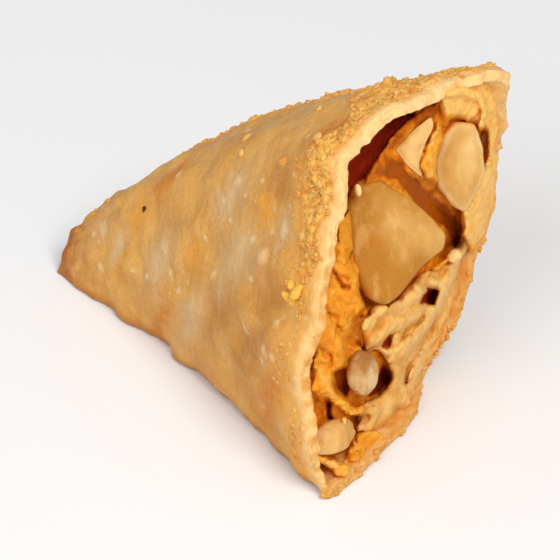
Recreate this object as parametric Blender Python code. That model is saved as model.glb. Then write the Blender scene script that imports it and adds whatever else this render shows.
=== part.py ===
"""One half of a fried samosa that was torn in two by hand.

The half is a fat wedge of folded pastry. It stands on one flat side, its
folded tip points along -X and its torn mouth faces +X. Potato filling runs
through the whole inside and shows in the mouth, with bigger pieces of potato
and a slice of onion set in it.
"""

import math

import bmesh
import bpy
import numpy as np
from mathutils import Matrix, Vector

MM = 0.001

# The wedge: five corners of the outer pastry, before the corners are rounded.
TIP_FOOT = np.array((-33.9, -10.4, 0.0)) * MM
TIP_TOP = np.array((-33.4, -8.8, 7.4)) * MM
FRONT_FOOT = np.array((33.2, -22.9, 0.0)) * MM
REAR_FOOT = np.array((26.6, 8.2, 0.0)) * MM
PEAK = np.array((25.0, 23.0, 49.8)) * MM
TIP_THICKNESS = 3.4 * MM

# How far each side swells out from the straight lines between the corners.
FRONT_SWELL = 22.6 * MM
REAR_SWELL = 8.0 * MM
RIDGE_SWELL = 5.3 * MM
FRONT_EDGE_HOLLOW = 2.6 * MM
SWELL_GROWTH = 0.95
FRONT_OUT = np.array((-0.177, -0.725, 0.665))
REAR_OUT = np.array((-0.262, 0.928, -0.265))
RIDGE_OUT = np.array((-0.70, 0.32, 0.64))

# Shape of the front side from the ridge (0) down to the foot (1).
FRONT_PROFILE = (
    (0.0, 0.0), (0.07, 0.36), (0.15, 0.70), (0.23, 0.93), (0.33, 1.02),
    (0.45, 0.95), (0.63, 0.80), (0.76, 0.66), (0.89, 0.37), (1.0, 0.0),
)

# The pastry sheet.
WALL = 2.0 * MM
CORNER_SOFTNESS = 1.5 * MM
INNER_SOFTNESS = 2.3 * MM
FLAT_DEPTH = 0.35 * MM
WAVE_HEIGHT = 0.35 * MM
RIM_WAVE = 0.8 * MM
LIP_REACH = 1.4 * MM
REAR_FOOT_BACK = 3.2 * MM
REAR_TOP_REACH = 0.8 * MM
GAP = 0.3 * MM

# Mesh rows along the wedge and points around it.
ROWS = 27
FIRST_HOLLOW_ROW = 7
FRONT_POINTS = 24
BASE_POINTS = 10
REAR_POINTS = 18
FINE = 4
FACE_RINGS = 7
FILLING_ROWS = 14

# The filling's face: how far inside the torn rim it lies, and the deeper slot
# that it leaves along the upper part of the front side.
FACE_DEPTH = 2.0 * MM
SLOT_DEPTH = 4.5 * MM
SLOT_MIDDLE = 0.11
SLOT_HALF_WIDTH = 0.10
FACE_CROWN = 1.6 * MM
FACE_LUMP = 0.6 * MM
LUMP_SIZE = 1.6 * MM

# The mouth's own directions: up along the torn front edge from the front foot
# to the peak, out through the front side, and out of the mouth.
UP_MOUTH = (PEAK - FRONT_FOOT) / np.linalg.norm(PEAK - FRONT_FOOT)
OUT_MOUTH = np.array((0.973, -0.029, 0.228))
ACROSS_MOUTH = np.cross(OUT_MOUTH, UP_MOUTH)

# Cut pieces of potato set in the mouth. Each has a middle in the mouth's
# directions (up, across, out), a facing direction, a turn, a thickness and
# the corners of its cut face.
POTATO_PIECES = {
    "potato_middle": {
        "middle": (39.2, 6.4, 0.6),
        "facing": (0.83, -0.35, 0.44),
        "thickness": 9.0,
        "corners": (
            (-7.4, 6.4), (-4.6, 9.3), (-1.6, 9.2), (3.0, 4.2), (7.2, -1.2), (6.4, -3.6),
            (1.6, -5.4), (-1.2, -7.8), (-3.9, -9.0), (-6.4, -7.2), (-8.2, -1.2),
        ),
    },
    "potato_upper": {
        "middle": (53.2, -0.2, -0.3),
        "facing": (0.90, -0.30, 0.31),
        "thickness": 8.0,
        "corners": (
            (-4.7, 0.6), (-2.9, 3.6), (-0.4, 5.8), (3.0, 4.6), (4.0, 0.4),
            (3.1, -3.6), (1.2, -6.2), (-0.7, -8.6), (-2.7, -6.6), (-4.8, -3.0),
        ),
    },
    "potato_side": {
        "middle": (51.6, 9.9, -1.8),
        "facing": (0.60, -0.62, 0.50),
        "thickness": 6.0,
        "corners": (
            (-2.4, -0.5), (0.7, 2.7), (3.3, 4.5), (3.8, 3.0), (2.5, 0.2),
            (1.6, -2.6), (2.3, -5.0), (-0.1, -3.3),
        ),
    },
}
PIECE_EDGE = 0.7 * MM
PIECE_TAPER = 0.86

# Rounded lumps low in the mouth: middle as above, then the half sizes.
LUMPS = {
    "potato_lower": {"middle": (9.4, 1.3, -0.9), "size": (3.9, 2.1, 2.2)},
    "onion_piece": {"middle": (19.4, 1.3, -1.0), "size": (2.5, 3.6, 2.4)},
}


def clear_scene():
    """Remove every object, so that the script starts from nothing."""
    for item in list(bpy.data.objects):
        bpy.data.objects.remove(item, do_unlink=True)


def make_material(name, colour, roughness):
    """A plain Principled material."""
    material = bpy.data.materials.new(name)
    material.use_nodes = True
    shader = material.node_tree.nodes["Principled BSDF"]
    shader.inputs["Base Color"].default_value = (*colour, 1.0)
    shader.inputs["Roughness"].default_value = roughness
    shader.inputs["Metallic"].default_value = 0.0
    return material


def smooth_profile(knots, x):
    """Height at x of a smooth curve through a few (position, height) knots."""
    position, height = np.array(knots).T
    slope = np.gradient(height, position)
    i = np.clip(np.searchsorted(position, x, side="right") - 1, 0, len(position) - 2)
    step = position[i + 1] - position[i]
    t = (x - position[i]) / step
    return (
        height[i] * (1 + 2 * t) * (1 - t) ** 2
        + height[i + 1] * t**2 * (3 - 2 * t)
        + slope[i] * step * t * (1 - t) ** 2
        + slope[i + 1] * step * t**2 * (t - 1)
    )


def soften_loop(loop, softness):
    """Round a closed loop's corners with a moving average along its length."""
    edge = np.linalg.norm(np.roll(loop, -1, axis=0) - loop, axis=1)
    along = np.concatenate(([0.0], np.cumsum(edge)[:-1]))
    total = edge.sum()
    weight = (edge + np.roll(edge, 1)) / 2
    apart = np.abs(along[:, None] - along[None, :])
    apart = np.minimum(apart, total - apart)
    mix = np.exp(-0.5 * (apart / softness) ** 2) * weight[None, :]
    return (mix / mix.sum(axis=1, keepdims=True)) @ loop


def sharp_section(u):
    """The wedge's outline at u, from the tip (0) to the torn mouth (1)."""
    half_tip = np.array((0.0, TIP_THICKNESS / 2, 0.0)) * (1 - u)
    ridge = TIP_TOP + u * (PEAK - TIP_TOP) + RIDGE_SWELL * 4 * u * (1 - u) * RIDGE_OUT
    front = TIP_FOOT + u * (FRONT_FOOT - TIP_FOOT) - half_tip
    front = front + np.array((0.0, FRONT_EDGE_HOLLOW * math.sin(math.pi * u), 0.0))
    rear = TIP_FOOT + u * (REAR_FOOT - TIP_FOOT) + half_tip
    swell = u**SWELL_GROWTH

    s = np.linspace(0, 1, FRONT_POINTS * FINE, endpoint=False)[:, None]
    bulge = FRONT_SWELL * swell * smooth_profile(FRONT_PROFILE, s)
    front_side = ridge + s * (front - ridge) + bulge * FRONT_OUT

    s = np.linspace(0, 1, BASE_POINTS * FINE, endpoint=False)[:, None]
    base = front + s * (rear - front)

    s = np.linspace(0, 1, REAR_POINTS * FINE, endpoint=False)[:, None]
    bulge = REAR_SWELL * swell * np.sin(np.pi * s) ** 0.8
    rear_side = rear + s * (ridge - rear) + bulge * REAR_OUT
    return np.vstack((front_side, base, rear_side))


def outer_section(u, softness):
    """The section with its corners rounded and its underside flat."""
    loop = soften_loop(sharp_section(u), softness * (0.3 + 0.7 * math.sqrt(u)))[::FINE]
    loop[:, 2] = np.maximum(loop[:, 2] - FLAT_DEPTH, 0.0)
    return loop


def row_positions():
    """Rows along the wedge, closer together at the tip and at the mouth."""
    even = np.linspace(0, 1, ROWS)
    return even - 0.035 * np.sin(2 * np.pi * even)


def surface_normals(grid):
    """Outward unit normals of a closed-around grid of points."""
    down = np.gradient(grid, axis=0)
    around = np.roll(grid, -1, axis=1) - np.roll(grid, 1, axis=1)
    normal = np.cross(around, down)
    return normal / np.linalg.norm(normal, axis=2, keepdims=True)


def build_surface(softness):
    """The pastry's outer surface as rows of points, tip first."""
    rows = row_positions()
    grid = np.array([outer_section(u, softness) for u in rows])
    u = rows[:, None]
    v = np.linspace(0, 2 * np.pi, grid.shape[1], endpoint=False)[None, :]
    wave = np.sin(5 * v + 6 * u) * np.sin(9 * u + 2 * v) + 0.7 * np.sin(11 * v - 13 * u)
    above_base = np.clip(grid[:, :, 2] / (4 * MM), 0, 1)
    height = WAVE_HEIGHT * wave * above_base * np.sqrt(u)
    grid = grid + surface_normals(grid) * height[:, :, None]
    torn = np.sin(3 * v + 0.6) + 0.6 * np.sin(7 * v + 1.9) + 0.45 * np.sin(13 * v)
    along = np.gradient(grid, axis=0)
    along = along / np.linalg.norm(along, axis=2, keepdims=True)
    along[:, :, 2] *= above_base
    across_base = (np.arange(grid.shape[1]) - FRONT_POINTS - 0.5) / (BASE_POINTS - 0.5)
    lip = np.sin(np.pi * np.clip(across_base, 0, 1) ** 0.6)
    up_rear = (np.arange(grid.shape[1]) - FRONT_POINTS - BASE_POINTS) / REAR_POINTS
    from_rear_foot = np.where(up_rear < 0, (1 - across_base) / 0.22, up_rear / 0.12)
    back = np.exp(-(from_rear_foot**2))
    top = np.exp(-(((up_rear - 0.72) / 0.22) ** 2))
    edge = RIM_WAVE * torn + LIP_REACH * lip - REAR_FOOT_BACK * back + REAR_TOP_REACH * top
    return grid + along * (edge * np.clip((u - 0.75) / 0.25, 0, 1))[:, :, None]


def add_grid_faces(mesh, rows, flip):
    """Join rows of mesh points that close around."""
    for lower, upper in zip(rows[:-1], rows[1:]):
        for i in range(len(lower)):
            j = (i + 1) % len(lower)
            corners = [lower[i], lower[j], upper[j], upper[i]]
            mesh.faces.new(corners[::-1] if flip else corners)


def add_cap(mesh, ring, flip):
    """Close a ring of mesh points with a fan round its middle."""
    middle = sum((point.co for point in ring), Vector()) / len(ring)
    hub = mesh.verts.new(middle)
    for i in range(len(ring)):
        corners = [ring[i], ring[(i + 1) % len(ring)], hub]
        mesh.faces.new(corners[::-1] if flip else corners)


def finish_object(name, mesh, material):
    """Turn a bmesh into a named, smooth-shaded object with one material."""
    bmesh.ops.triangulate(mesh, faces=mesh.faces)
    bmesh.ops.recalc_face_normals(mesh, faces=mesh.faces)
    data = bpy.data.meshes.new(name)
    mesh.to_mesh(data)
    mesh.free()
    data.materials.append(material)
    data.shade_smooth()
    data.set_sharp_from_angle(angle=math.radians(40))
    item = bpy.data.objects.new(name, data)
    bpy.context.scene.collection.objects.link(item)
    return item


def inner_surface(wall):
    """Rows of points a wall's depth inside the pastry, past the solid tip."""
    soft = build_surface(INNER_SOFTNESS)
    inside = soft - surface_normals(soft) * wall
    return inside[FIRST_HOLLOW_ROW:]


def build_crust(material):
    """The folded pastry: a shell that is solid at the tip, open at the mouth."""
    outer = build_surface(CORNER_SOFTNESS)
    inner = inner_surface(WALL)
    mesh = bmesh.new()
    outer_rows = [[mesh.verts.new(point) for point in row] for row in outer]
    inner_rows = [[mesh.verts.new(point) for point in row] for row in inner]
    add_cap(mesh, outer_rows[0], flip=False)
    add_grid_faces(mesh, outer_rows, flip=False)
    add_grid_faces(mesh, [outer_rows[-1], inner_rows[-1]], flip=False)
    add_grid_faces(mesh, inner_rows, flip=True)
    add_cap(mesh, inner_rows[0], flip=True)
    return finish_object("crust", mesh, material)


def take_at(column_rows, position):
    """Points on each column of a grid at a fractional row number."""
    low = np.clip(position.astype(int), 0, len(column_rows) - 2)
    part = (position - low)[..., None]
    column = np.arange(column_rows.shape[1])[None, :]
    return column_rows[low, column] * (1 - part) + column_rows[low + 1, column] * part


def row_at_depth(grid, depth):
    """Fractional row number at a distance back from the last row."""
    step = np.linalg.norm(np.diff(grid, axis=0), axis=2)[::-1]
    back = np.vstack((np.zeros(grid.shape[1]), np.cumsum(step, axis=0)))
    last = len(grid) - 1
    rows = np.arange(len(grid))
    return np.array([last - np.interp(depth[i], back[:, i], rows) for i in range(grid.shape[1])])


def face_depth(points):
    """How far inside the rim the filling starts, at each point round it."""
    v = np.arange(points) / points
    slot = np.clip(1 - ((v - SLOT_MIDDLE) / SLOT_HALF_WIDTH) ** 2, 0, 1)
    return FACE_DEPTH + SLOT_DEPTH * slot


def bowed_x(fit_points, points):
    """X at points, on the gently bowed surface that best fits other points."""
    def terms(p):
        y, z = p[:, 1] / MM, p[:, 2] / MM
        return np.stack((np.ones_like(y), y, z, y * y, y * z, z * z), axis=1)

    weights = np.linalg.lstsq(terms(fit_points), fit_points[:, 0], rcond=None)[0]
    return terms(points) @ weights


def build_filling(material):
    """The mashed potato: it fills the shell from the tip to an uneven face."""
    inside = inner_surface(WALL + GAP)[1:]
    points = inside.shape[1]
    depth = face_depth(points)
    last = row_at_depth(inside, depth)
    share = np.linspace(0, 1, FILLING_ROWS)[:, None]
    body = take_at(inside, share * last[None, :])

    rim = inside[-1]
    hub = rim.mean(axis=0)
    rings = []
    for k in range(1, FACE_RINGS):
        f = k / FACE_RINGS
        ring = rim + f * (hub - rim)
        ring[:, 0] = bowed_x(rim, ring) + (rim[:, 0] - bowed_x(rim, rim)) * (1 - f) ** 2
        y, z = ring[:, 1] / LUMP_SIZE, ring[:, 2] / LUMP_SIZE
        lump = np.sin(y + 0.8 * np.sin(1.7 * z)) * np.sin(1.2 * z + 0.5) * FACE_LUMP
        slot = (depth - FACE_DEPTH) * (1 - f) ** 5
        sunk = FACE_DEPTH + slot + lump - FACE_CROWN * math.sin(0.5 * math.pi * f)
        rings.append(ring - sunk[:, None] * OUT_MOUTH)

    mesh = bmesh.new()
    rows = [[mesh.verts.new(point) for point in row] for row in [*body, *rings]]
    add_cap(mesh, rows[0], flip=False)
    add_grid_faces(mesh, rows, flip=False)
    add_cap(mesh, rows[-1], flip=True)
    return finish_object("filling", mesh, material)


def mouth_point(up, across, out):
    """World point for millimetres in the mouth's own directions."""
    return FRONT_FOOT + MM * (up * UP_MOUTH + across * ACROSS_MOUTH + out * OUT_MOUTH)


def facing_matrix(middle, facing):
    """A frame at middle whose Z points along facing and whose Y is near up."""
    z = Vector(facing).normalized()
    x = Vector((0, 0, 1)).cross(z).normalized()
    y = z.cross(x)
    return Matrix.Translation(Vector(middle)) @ Matrix((x, y, z)).transposed().to_4x4()


def grow(mesh, amount):
    """Move every face of a closed mesh out by the same amount."""
    mesh.normal_update()
    moves = [point.normal * point.calc_shell_factor() * amount for point in mesh.verts]
    for point, move in zip(mesh.verts, moves):
        point.co += move


def potato_mesh(piece, growth):
    """A cut slab of potato with softened edges, optionally grown all round."""
    mesh = bmesh.new()
    back = -piece["thickness"] * MM
    front_ring = [mesh.verts.new((x * MM, y * MM, 0)) for x, y in piece["corners"]]
    back_ring = [
        mesh.verts.new((x * MM * PIECE_TAPER, y * MM * PIECE_TAPER, back))
        for x, y in piece["corners"]
    ]
    mesh.faces.new(front_ring)
    mesh.faces.new(back_ring[::-1])
    add_grid_faces(mesh, [front_ring, back_ring], flip=False)
    bmesh.ops.recalc_face_normals(mesh, faces=mesh.faces)
    bmesh.ops.bevel(
        mesh, geom=list(mesh.edges), offset=PIECE_EDGE, segments=2,
        profile=0.5, affect="EDGES", clamp_overlap=True,
    )
    if growth:
        grow(mesh, growth)
    mesh.transform(facing_matrix(mouth_point(*piece["middle"]), piece["facing"]))
    return mesh


def lump_mesh(lump, growth):
    """An egg-shaped lump, optionally grown all round."""
    mesh = bmesh.new()
    bmesh.ops.create_icosphere(mesh, subdivisions=2, radius=1.0)
    size = np.array(lump["size"]) * MM + growth
    frame = facing_matrix(mouth_point(*lump["middle"]), OUT_MOUTH)
    mesh.transform(frame @ Matrix.Diagonal((*size, 1.0)))
    return mesh


def cut_pocket(item, mesh):
    """Cut a mesh's shape out of an object, leaving a pocket."""
    data = bpy.data.meshes.new("pocket")
    mesh.to_mesh(data)
    mesh.free()
    cutter = bpy.data.objects.new("pocket", data)
    bpy.context.scene.collection.objects.link(cutter)
    cutter.hide_render = True
    cutter.display_type = "WIRE"
    cut = item.modifiers.new("pocket", "BOOLEAN")
    cut.operation = "DIFFERENCE"
    cut.solver = "EXACT"
    cut.object = cutter


def main():
    clear_scene()
    pastry = make_material("fried_pastry", (0.62, 0.34, 0.10), 0.5)
    mash = make_material("mashed_potato", (0.68, 0.29, 0.04), 0.45)
    potato = make_material("cooked_potato", (0.74, 0.43, 0.14), 0.4)
    onion = make_material("cooked_onion", (0.45, 0.26, 0.10), 0.25)
    build_crust(pastry)
    filling = build_filling(mash)
    for name, piece in POTATO_PIECES.items():
        finish_object(name, potato_mesh(piece, 0.0), potato)
        cut_pocket(filling, potato_mesh(piece, GAP))
    for name, lump in LUMPS.items():
        finish_object(name, lump_mesh(lump, 0.0), onion if "onion" in name else potato)
        cut_pocket(filling, lump_mesh(lump, GAP))


main()
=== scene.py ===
# %% [markdown]
# # One torn half of a fried samosa
#
# A samosa is a sheet of dough folded round spiced potato into a fat triangle and fried. This one
# was torn in two by hand. The half stands on a flat side: its folded tip is on the left, and its
# torn mouth shows the pastry's thickness, the mash, pieces of potato and one bead of onion.
#
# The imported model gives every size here. Each of its solids is replaced by a finer piece that
# keeps the same shape and place, and adds what frying and tearing do to food.

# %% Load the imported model
import math

import bmesh
import bpy
import numpy as np
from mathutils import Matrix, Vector


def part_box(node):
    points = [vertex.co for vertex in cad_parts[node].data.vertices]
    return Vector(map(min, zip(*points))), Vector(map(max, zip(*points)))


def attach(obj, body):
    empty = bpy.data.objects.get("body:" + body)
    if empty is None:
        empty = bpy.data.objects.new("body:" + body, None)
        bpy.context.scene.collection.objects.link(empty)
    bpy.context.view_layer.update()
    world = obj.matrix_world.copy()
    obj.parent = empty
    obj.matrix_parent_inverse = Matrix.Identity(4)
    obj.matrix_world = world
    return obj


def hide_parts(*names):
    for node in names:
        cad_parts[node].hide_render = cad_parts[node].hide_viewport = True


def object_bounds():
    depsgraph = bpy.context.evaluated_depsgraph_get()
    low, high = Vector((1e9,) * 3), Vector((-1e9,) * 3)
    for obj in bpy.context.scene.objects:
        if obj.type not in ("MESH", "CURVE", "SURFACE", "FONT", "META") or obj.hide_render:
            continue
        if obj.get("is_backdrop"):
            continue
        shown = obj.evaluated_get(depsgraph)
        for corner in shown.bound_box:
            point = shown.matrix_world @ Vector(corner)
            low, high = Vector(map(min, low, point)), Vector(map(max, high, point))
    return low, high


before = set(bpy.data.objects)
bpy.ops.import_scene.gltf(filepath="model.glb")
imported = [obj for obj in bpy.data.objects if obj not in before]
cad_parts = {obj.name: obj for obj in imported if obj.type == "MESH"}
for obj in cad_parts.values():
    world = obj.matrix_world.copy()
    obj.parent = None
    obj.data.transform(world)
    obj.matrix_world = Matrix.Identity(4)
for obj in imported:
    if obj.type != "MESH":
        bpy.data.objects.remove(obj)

MM = 0.001
LOW, HIGH = (np.array(corner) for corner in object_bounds())
SPAN = HIGH - LOW
print("packed model, mm:", np.round(SPAN / MM, 1))

# %% [markdown]
# ## Noise made with numpy
#
# Food has no straight line in it, so nearly every piece below needs a smooth random field. A
# texture in a material can only paint and shade, but here the mesh itself has to be uneven.
# Random numbers on a lattice, blended with a curve that starts and ends flat, give lumps of a
# chosen size that are the same on every run.

# %% Smooth noise at any point in space
LATTICE = 32


def noise(points, grain, seed):
    """Smooth lumps about `grain` across, from -1 to 1, at an array of points."""
    table = np.random.default_rng(seed).uniform(-1, 1, (LATTICE,) * 3)
    scaled = points / grain
    cell = np.floor(scaled).astype(int)
    t = scaled - cell
    t = t**3 * (t * (t * 6 - 15) + 10)
    total = 0.0
    for corner in np.ndindex(2, 2, 2):
        share = np.where(corner, t, 1 - t).prod(axis=-1)
        i, j, k = np.moveaxis((cell + corner) % LATTICE, -1, 0)
        total = total + share * table[i, j, k]
    return total


def rough_noise(points, grain, seed, layers=3):
    """Noise with finer and weaker noise added on top of it."""
    return sum(noise(points, grain / 2**k, seed + k) / 2**k for k in range(layers))


def lumps_of(points, grain, seed):
    """Rounded lumps with sharp creases between them, about 0.3 high on average."""
    return np.abs(noise(points, grain, seed)) + 0.4 * np.abs(noise(points, grain / 2.2, seed + 1))


def bell(distance, reach):
    """1 at no distance, falling smoothly to 0 beyond the reach."""
    return np.exp(-((distance / reach) ** 2))


def rise(values, start, end):
    """0 before start, 1 after end, and a smooth step between."""
    t = np.clip((values - start) / (end - start), 0, 1)
    return t * t * (3 - 2 * t)


# %% [markdown]
# ## Turning points into a piece
#
# Every piece is worked out as an array of points and a list of faces. One helper makes the mesh,
# gives it its material and hands it to the frame. Numbers that belong to a point, such as how
# close it is to the torn edge, are stored as named attributes, and the materials read them.

# %% Mesh helpers
def grid_faces(rows, columns, start=0):
    """Quads between rows of points, where each row closes round on itself."""
    lower = start + np.arange((rows - 1) * columns).reshape(rows - 1, columns)
    beside = np.roll(lower, -1, axis=1)
    quads = np.stack((lower, beside, beside + columns, lower + columns), axis=-1)
    return quads.reshape(-1, 4).tolist()


def fan_faces(ring, hub):
    """Triangles from each side of a ring to one hub point."""
    return [[ring[i], ring[(i + 1) % len(ring)], hub] for i in range(len(ring))]


def faces_point_out(points, faces):
    """Whether a closed mesh has its faces outward, from its signed volume."""
    volume = 0.0
    middle = points.mean(axis=0)
    for count in (3, 4):
        corners = np.array([face for face in faces if len(face) == count])
        if len(corners):
            p = points[corners] - middle
            for k in range(1, count - 1):
                volume += np.einsum("ij,ij->i", p[:, 0], np.cross(p[:, k], p[:, k + 1])).sum()
    return volume > 0


def new_piece(name, points, faces, finish, slot, replaces=(), **masks):
    """A smooth-shaded mesh that rides on the one body, with its masks stored on its points."""
    if not faces_point_out(points, faces):
        faces = [face[::-1] for face in faces]
    data = bpy.data.meshes.new(name)
    data.from_pydata(points.tolist(), [], faces)
    data.shade_smooth()
    for mask, values in masks.items():
        data.attributes.new(mask, "FLOAT", "POINT").data.foreach_set("value", np.ravel(values))
    data.materials.append(finish)
    piece = bpy.data.objects.new(name, data)
    bpy.context.scene.collection.objects.link(piece)
    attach(piece, "root")
    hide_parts(*replaces)
    triangles = sum(len(face) - 2 for face in faces)
    print(f"{name}: {triangles} triangles")
    return piece


# %% [markdown]
# ## Building finishes from patterns
#
# A material here is one Principled shader with patterns plugged into its colour, roughness and
# normal. The same few nodes come back in every finish, so a small class wraps them. Patterns use
# object coordinates, so their grain is a real length on the food.

# %% A small kit for finishes
def paint(red, green, blue):
    """A colour given as 0 to 255 display values, turned into light."""
    shares = np.array((red, green, blue)) / 255
    light = np.where(shares <= 0.04045, shares / 12.92, ((shares + 0.055) / 1.055) ** 2.4)
    return (*light, 1.0)


class Finish:
    """A Principled material whose patterns are added one call at a time."""

    def __init__(self, name, **plain):
        self.material = bpy.data.materials.new(name)
        self.material.use_nodes = True
        self.tree = self.material.node_tree
        self.shader = self.tree.nodes["Principled BSDF"]
        self.place = self.node("ShaderNodeTexCoord").outputs["Object"]
        for socket, value in plain.items():
            self.shader.inputs[socket.replace("_", " ")].default_value = value

    def node(self, kind, inputs=(), **settings):
        node = self.tree.nodes.new(kind)
        for setting, value in settings.items():
            setattr(node, setting, value)
        for socket, value in dict(inputs).items():
            if isinstance(value, bpy.types.NodeSocket):
                self.tree.links.new(value, node.inputs[socket])
            else:
                node.inputs[socket].default_value = value
        return node

    def pattern(self, grain, detail=2.0, stretch=(1, 1, 1), twist=0.0, place=None):
        """Noise from 0 to 1 with lumps of a real size."""
        place = place or self.place
        place = self.node("ShaderNodeMapping", {"Vector": place, "Scale": stretch})
        inputs = {
            "Vector": place.outputs[0], "Scale": 1 / grain, "Detail": detail, "Distortion": twist,
        }
        return self.node("ShaderNodeTexNoise", inputs).outputs["Fac"]

    def mask(self, name):
        """A number stored on the mesh's points."""
        return self.node("ShaderNodeAttribute", attribute_name=name).outputs["Fac"]

    def span(self, value, start, end, low=0.0, high=1.0):
        """A value stretched so that start becomes low and end becomes high."""
        inputs = {"Value": value, "From Min": start, "From Max": end, "To Min": low, "To Max": high}
        node = self.node("ShaderNodeMapRange", inputs, interpolation_type="SMOOTHSTEP")
        return node.outputs["Result"]

    def sum(self, first, second, operation="ADD"):
        node = self.node("ShaderNodeMath", {0: first, 1: second}, operation=operation)
        return node.outputs["Value"]

    def times(self, first, second):
        return self.sum(first, second, "MULTIPLY")

    def mix(self, amount, first, second, blend="MIX"):
        """A colour between two colours, or one laid over the other."""
        node = self.node("ShaderNodeMix", data_type="RGBA", blend_type=blend)
        for index, value in ((0, amount), (6, first), (7, second)):
            if isinstance(value, bpy.types.NodeSocket):
                self.tree.links.new(value, node.inputs[index])
            else:
                node.inputs[index].default_value = value
        return node.outputs[2]

    def wear(self, colour=None, roughness=None, relief=None, depth=0.0):
        """Plug what was made into the shader."""
        if colour is not None:
            self.tree.links.new(colour, self.shader.inputs["Base Color"])
        if roughness is not None:
            self.tree.links.new(roughness, self.shader.inputs["Roughness"])
        if relief is not None:
            bump = self.node("ShaderNodeBump", {"Height": relief, "Distance": depth})
            self.tree.links.new(bump.outputs["Normal"], self.shader.inputs["Normal"])
        return self.material


# %% [markdown]
# ## The pouch's corners
#
# The pouch is a fat wedge with five corners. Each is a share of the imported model's box, so the
# fine pastry lands exactly on the plain one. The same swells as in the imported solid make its
# sides bulge, as wet filling does to a folded sheet.

# %% Corners, swells and the mouth's directions
def in_box(x, y, z):
    """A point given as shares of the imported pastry's box."""
    low, high = (np.array(corner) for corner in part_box("crust"))
    return low + np.array((x, y, z)) * (high - low)


TIP_FOOT = in_box(0.0, 0.2854, 0.0)
TIP_TOP = in_box(0.0074, 0.3178, 0.141)
FRONT_FOOT = in_box(1.0, 0.0324, 0.0)
REAR_FOOT = in_box(0.9018, 0.662, 0.0)
PEAK = in_box(0.8779, 0.9616, 0.9486)
TIP_THICKNESS = 3.4 * MM
FRONT_SWELL = 22.6 * MM
REAR_SWELL = 8.0 * MM
RIDGE_SWELL = 5.3 * MM
FRONT_EDGE_HOLLOW = 2.6 * MM
SWELL_GROWTH = 0.95
FRONT_OUT = np.array((-0.177, -0.725, 0.665))
REAR_OUT = np.array((-0.262, 0.928, -0.265))
RIDGE_OUT = np.array((-0.70, 0.32, 0.64))
FRONT_PROFILE = (
    (0.0, 0.0), (0.07, 0.36), (0.15, 0.70), (0.23, 0.93), (0.33, 1.02),
    (0.45, 0.95), (0.63, 0.80), (0.76, 0.66), (0.89, 0.37), (1.0, 0.0),
)
WALL = 2.0 * MM

UP_MOUTH = (PEAK - FRONT_FOOT) / np.linalg.norm(PEAK - FRONT_FOOT)
OUT_MOUTH = np.array((0.973, -0.029, 0.228))
ACROSS_MOUTH = np.cross(OUT_MOUTH, UP_MOUTH)
MOUTH_AXES = np.array((UP_MOUTH, ACROSS_MOUTH, OUT_MOUTH))
print("length of the torn front edge, mm:", round(np.linalg.norm(PEAK - FRONT_FOOT) / MM, 1))

# %% [markdown]
# ## The folded sheet as a loft
#
# A loft is a stack of closed outlines. Each outline is three sides with their swells, softened at
# the corners by averaging along its length, because thick dough can't fold sharply. The outline
# runs from the ridge down the front side, along the base and back up the rear side.

# %% Outlines of the pouch
FRONT_POINTS = 244
BASE_POINTS = 38
REAR_POINTS = 108
AROUND = FRONT_POINTS + BASE_POINTS + REAR_POINTS
CORNER_SOFTNESS = 1.5 * MM
INNER_SOFTNESS = 2.3 * MM
FLAT_DEPTH = 0.35 * MM


def smooth_profile(knots, x):
    """Height at x of a smooth curve through a few (position, height) knots."""
    position, height = np.array(knots).T
    slope = np.gradient(height, position)
    i = np.clip(np.searchsorted(position, x, side="right") - 1, 0, len(position) - 2)
    step = position[i + 1] - position[i]
    t = (x - position[i]) / step
    return (
        height[i] * (1 + 2 * t) * (1 - t) ** 2
        + height[i + 1] * t**2 * (3 - 2 * t)
        + slope[i] * step * t * (1 - t) ** 2
        + slope[i + 1] * step * t**2 * (t - 1)
    )


def soften_loop(loop, softness):
    """Round a closed loop's corners with a moving average along its length."""
    edge = np.linalg.norm(np.roll(loop, -1, axis=0) - loop, axis=1)
    along = np.concatenate(([0.0], np.cumsum(edge)[:-1]))
    weight = (edge + np.roll(edge, 1)) / 2
    apart = np.abs(along[:, None] - along[None, :])
    apart = np.minimum(apart, edge.sum() - apart)
    mix = np.exp(-0.5 * (apart / softness) ** 2) * weight[None, :]
    return (mix / mix.sum(axis=1, keepdims=True)) @ loop


def pouch_outline(u, softness):
    """The pouch's outline at u, from the folded tip (0) to the torn mouth (1)."""
    half_tip = np.array((0.0, TIP_THICKNESS / 2, 0.0)) * (1 - u)
    ridge = TIP_TOP + u * (PEAK - TIP_TOP) + RIDGE_SWELL * 4 * u * (1 - u) * RIDGE_OUT
    front = TIP_FOOT + u * (FRONT_FOOT - TIP_FOOT) - half_tip
    front = front + np.array((0.0, FRONT_EDGE_HOLLOW * math.sin(math.pi * u), 0.0))
    rear = TIP_FOOT + u * (REAR_FOOT - TIP_FOOT) + half_tip
    swell = u**SWELL_GROWTH

    s = np.linspace(0, 1, FRONT_POINTS, endpoint=False)[:, None]
    bulge = FRONT_SWELL * swell * smooth_profile(FRONT_PROFILE, s)
    front_side = ridge + s * (front - ridge) + bulge * FRONT_OUT
    s = np.linspace(0, 1, BASE_POINTS, endpoint=False)[:, None]
    base = front + s * (rear - front)
    s = np.linspace(0, 1, REAR_POINTS, endpoint=False)[:, None]
    bulge = REAR_SWELL * swell * np.sin(np.pi * s) ** 0.8
    rear_side = rear + s * (ridge - rear) + bulge * REAR_OUT

    loop = np.vstack((front_side, base, rear_side))
    loop = soften_loop(loop, softness * (0.3 + 0.7 * math.sqrt(u)))
    loop[:, 2] = np.maximum(loop[:, 2] - FLAT_DEPTH, 0.0)
    return loop


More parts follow.
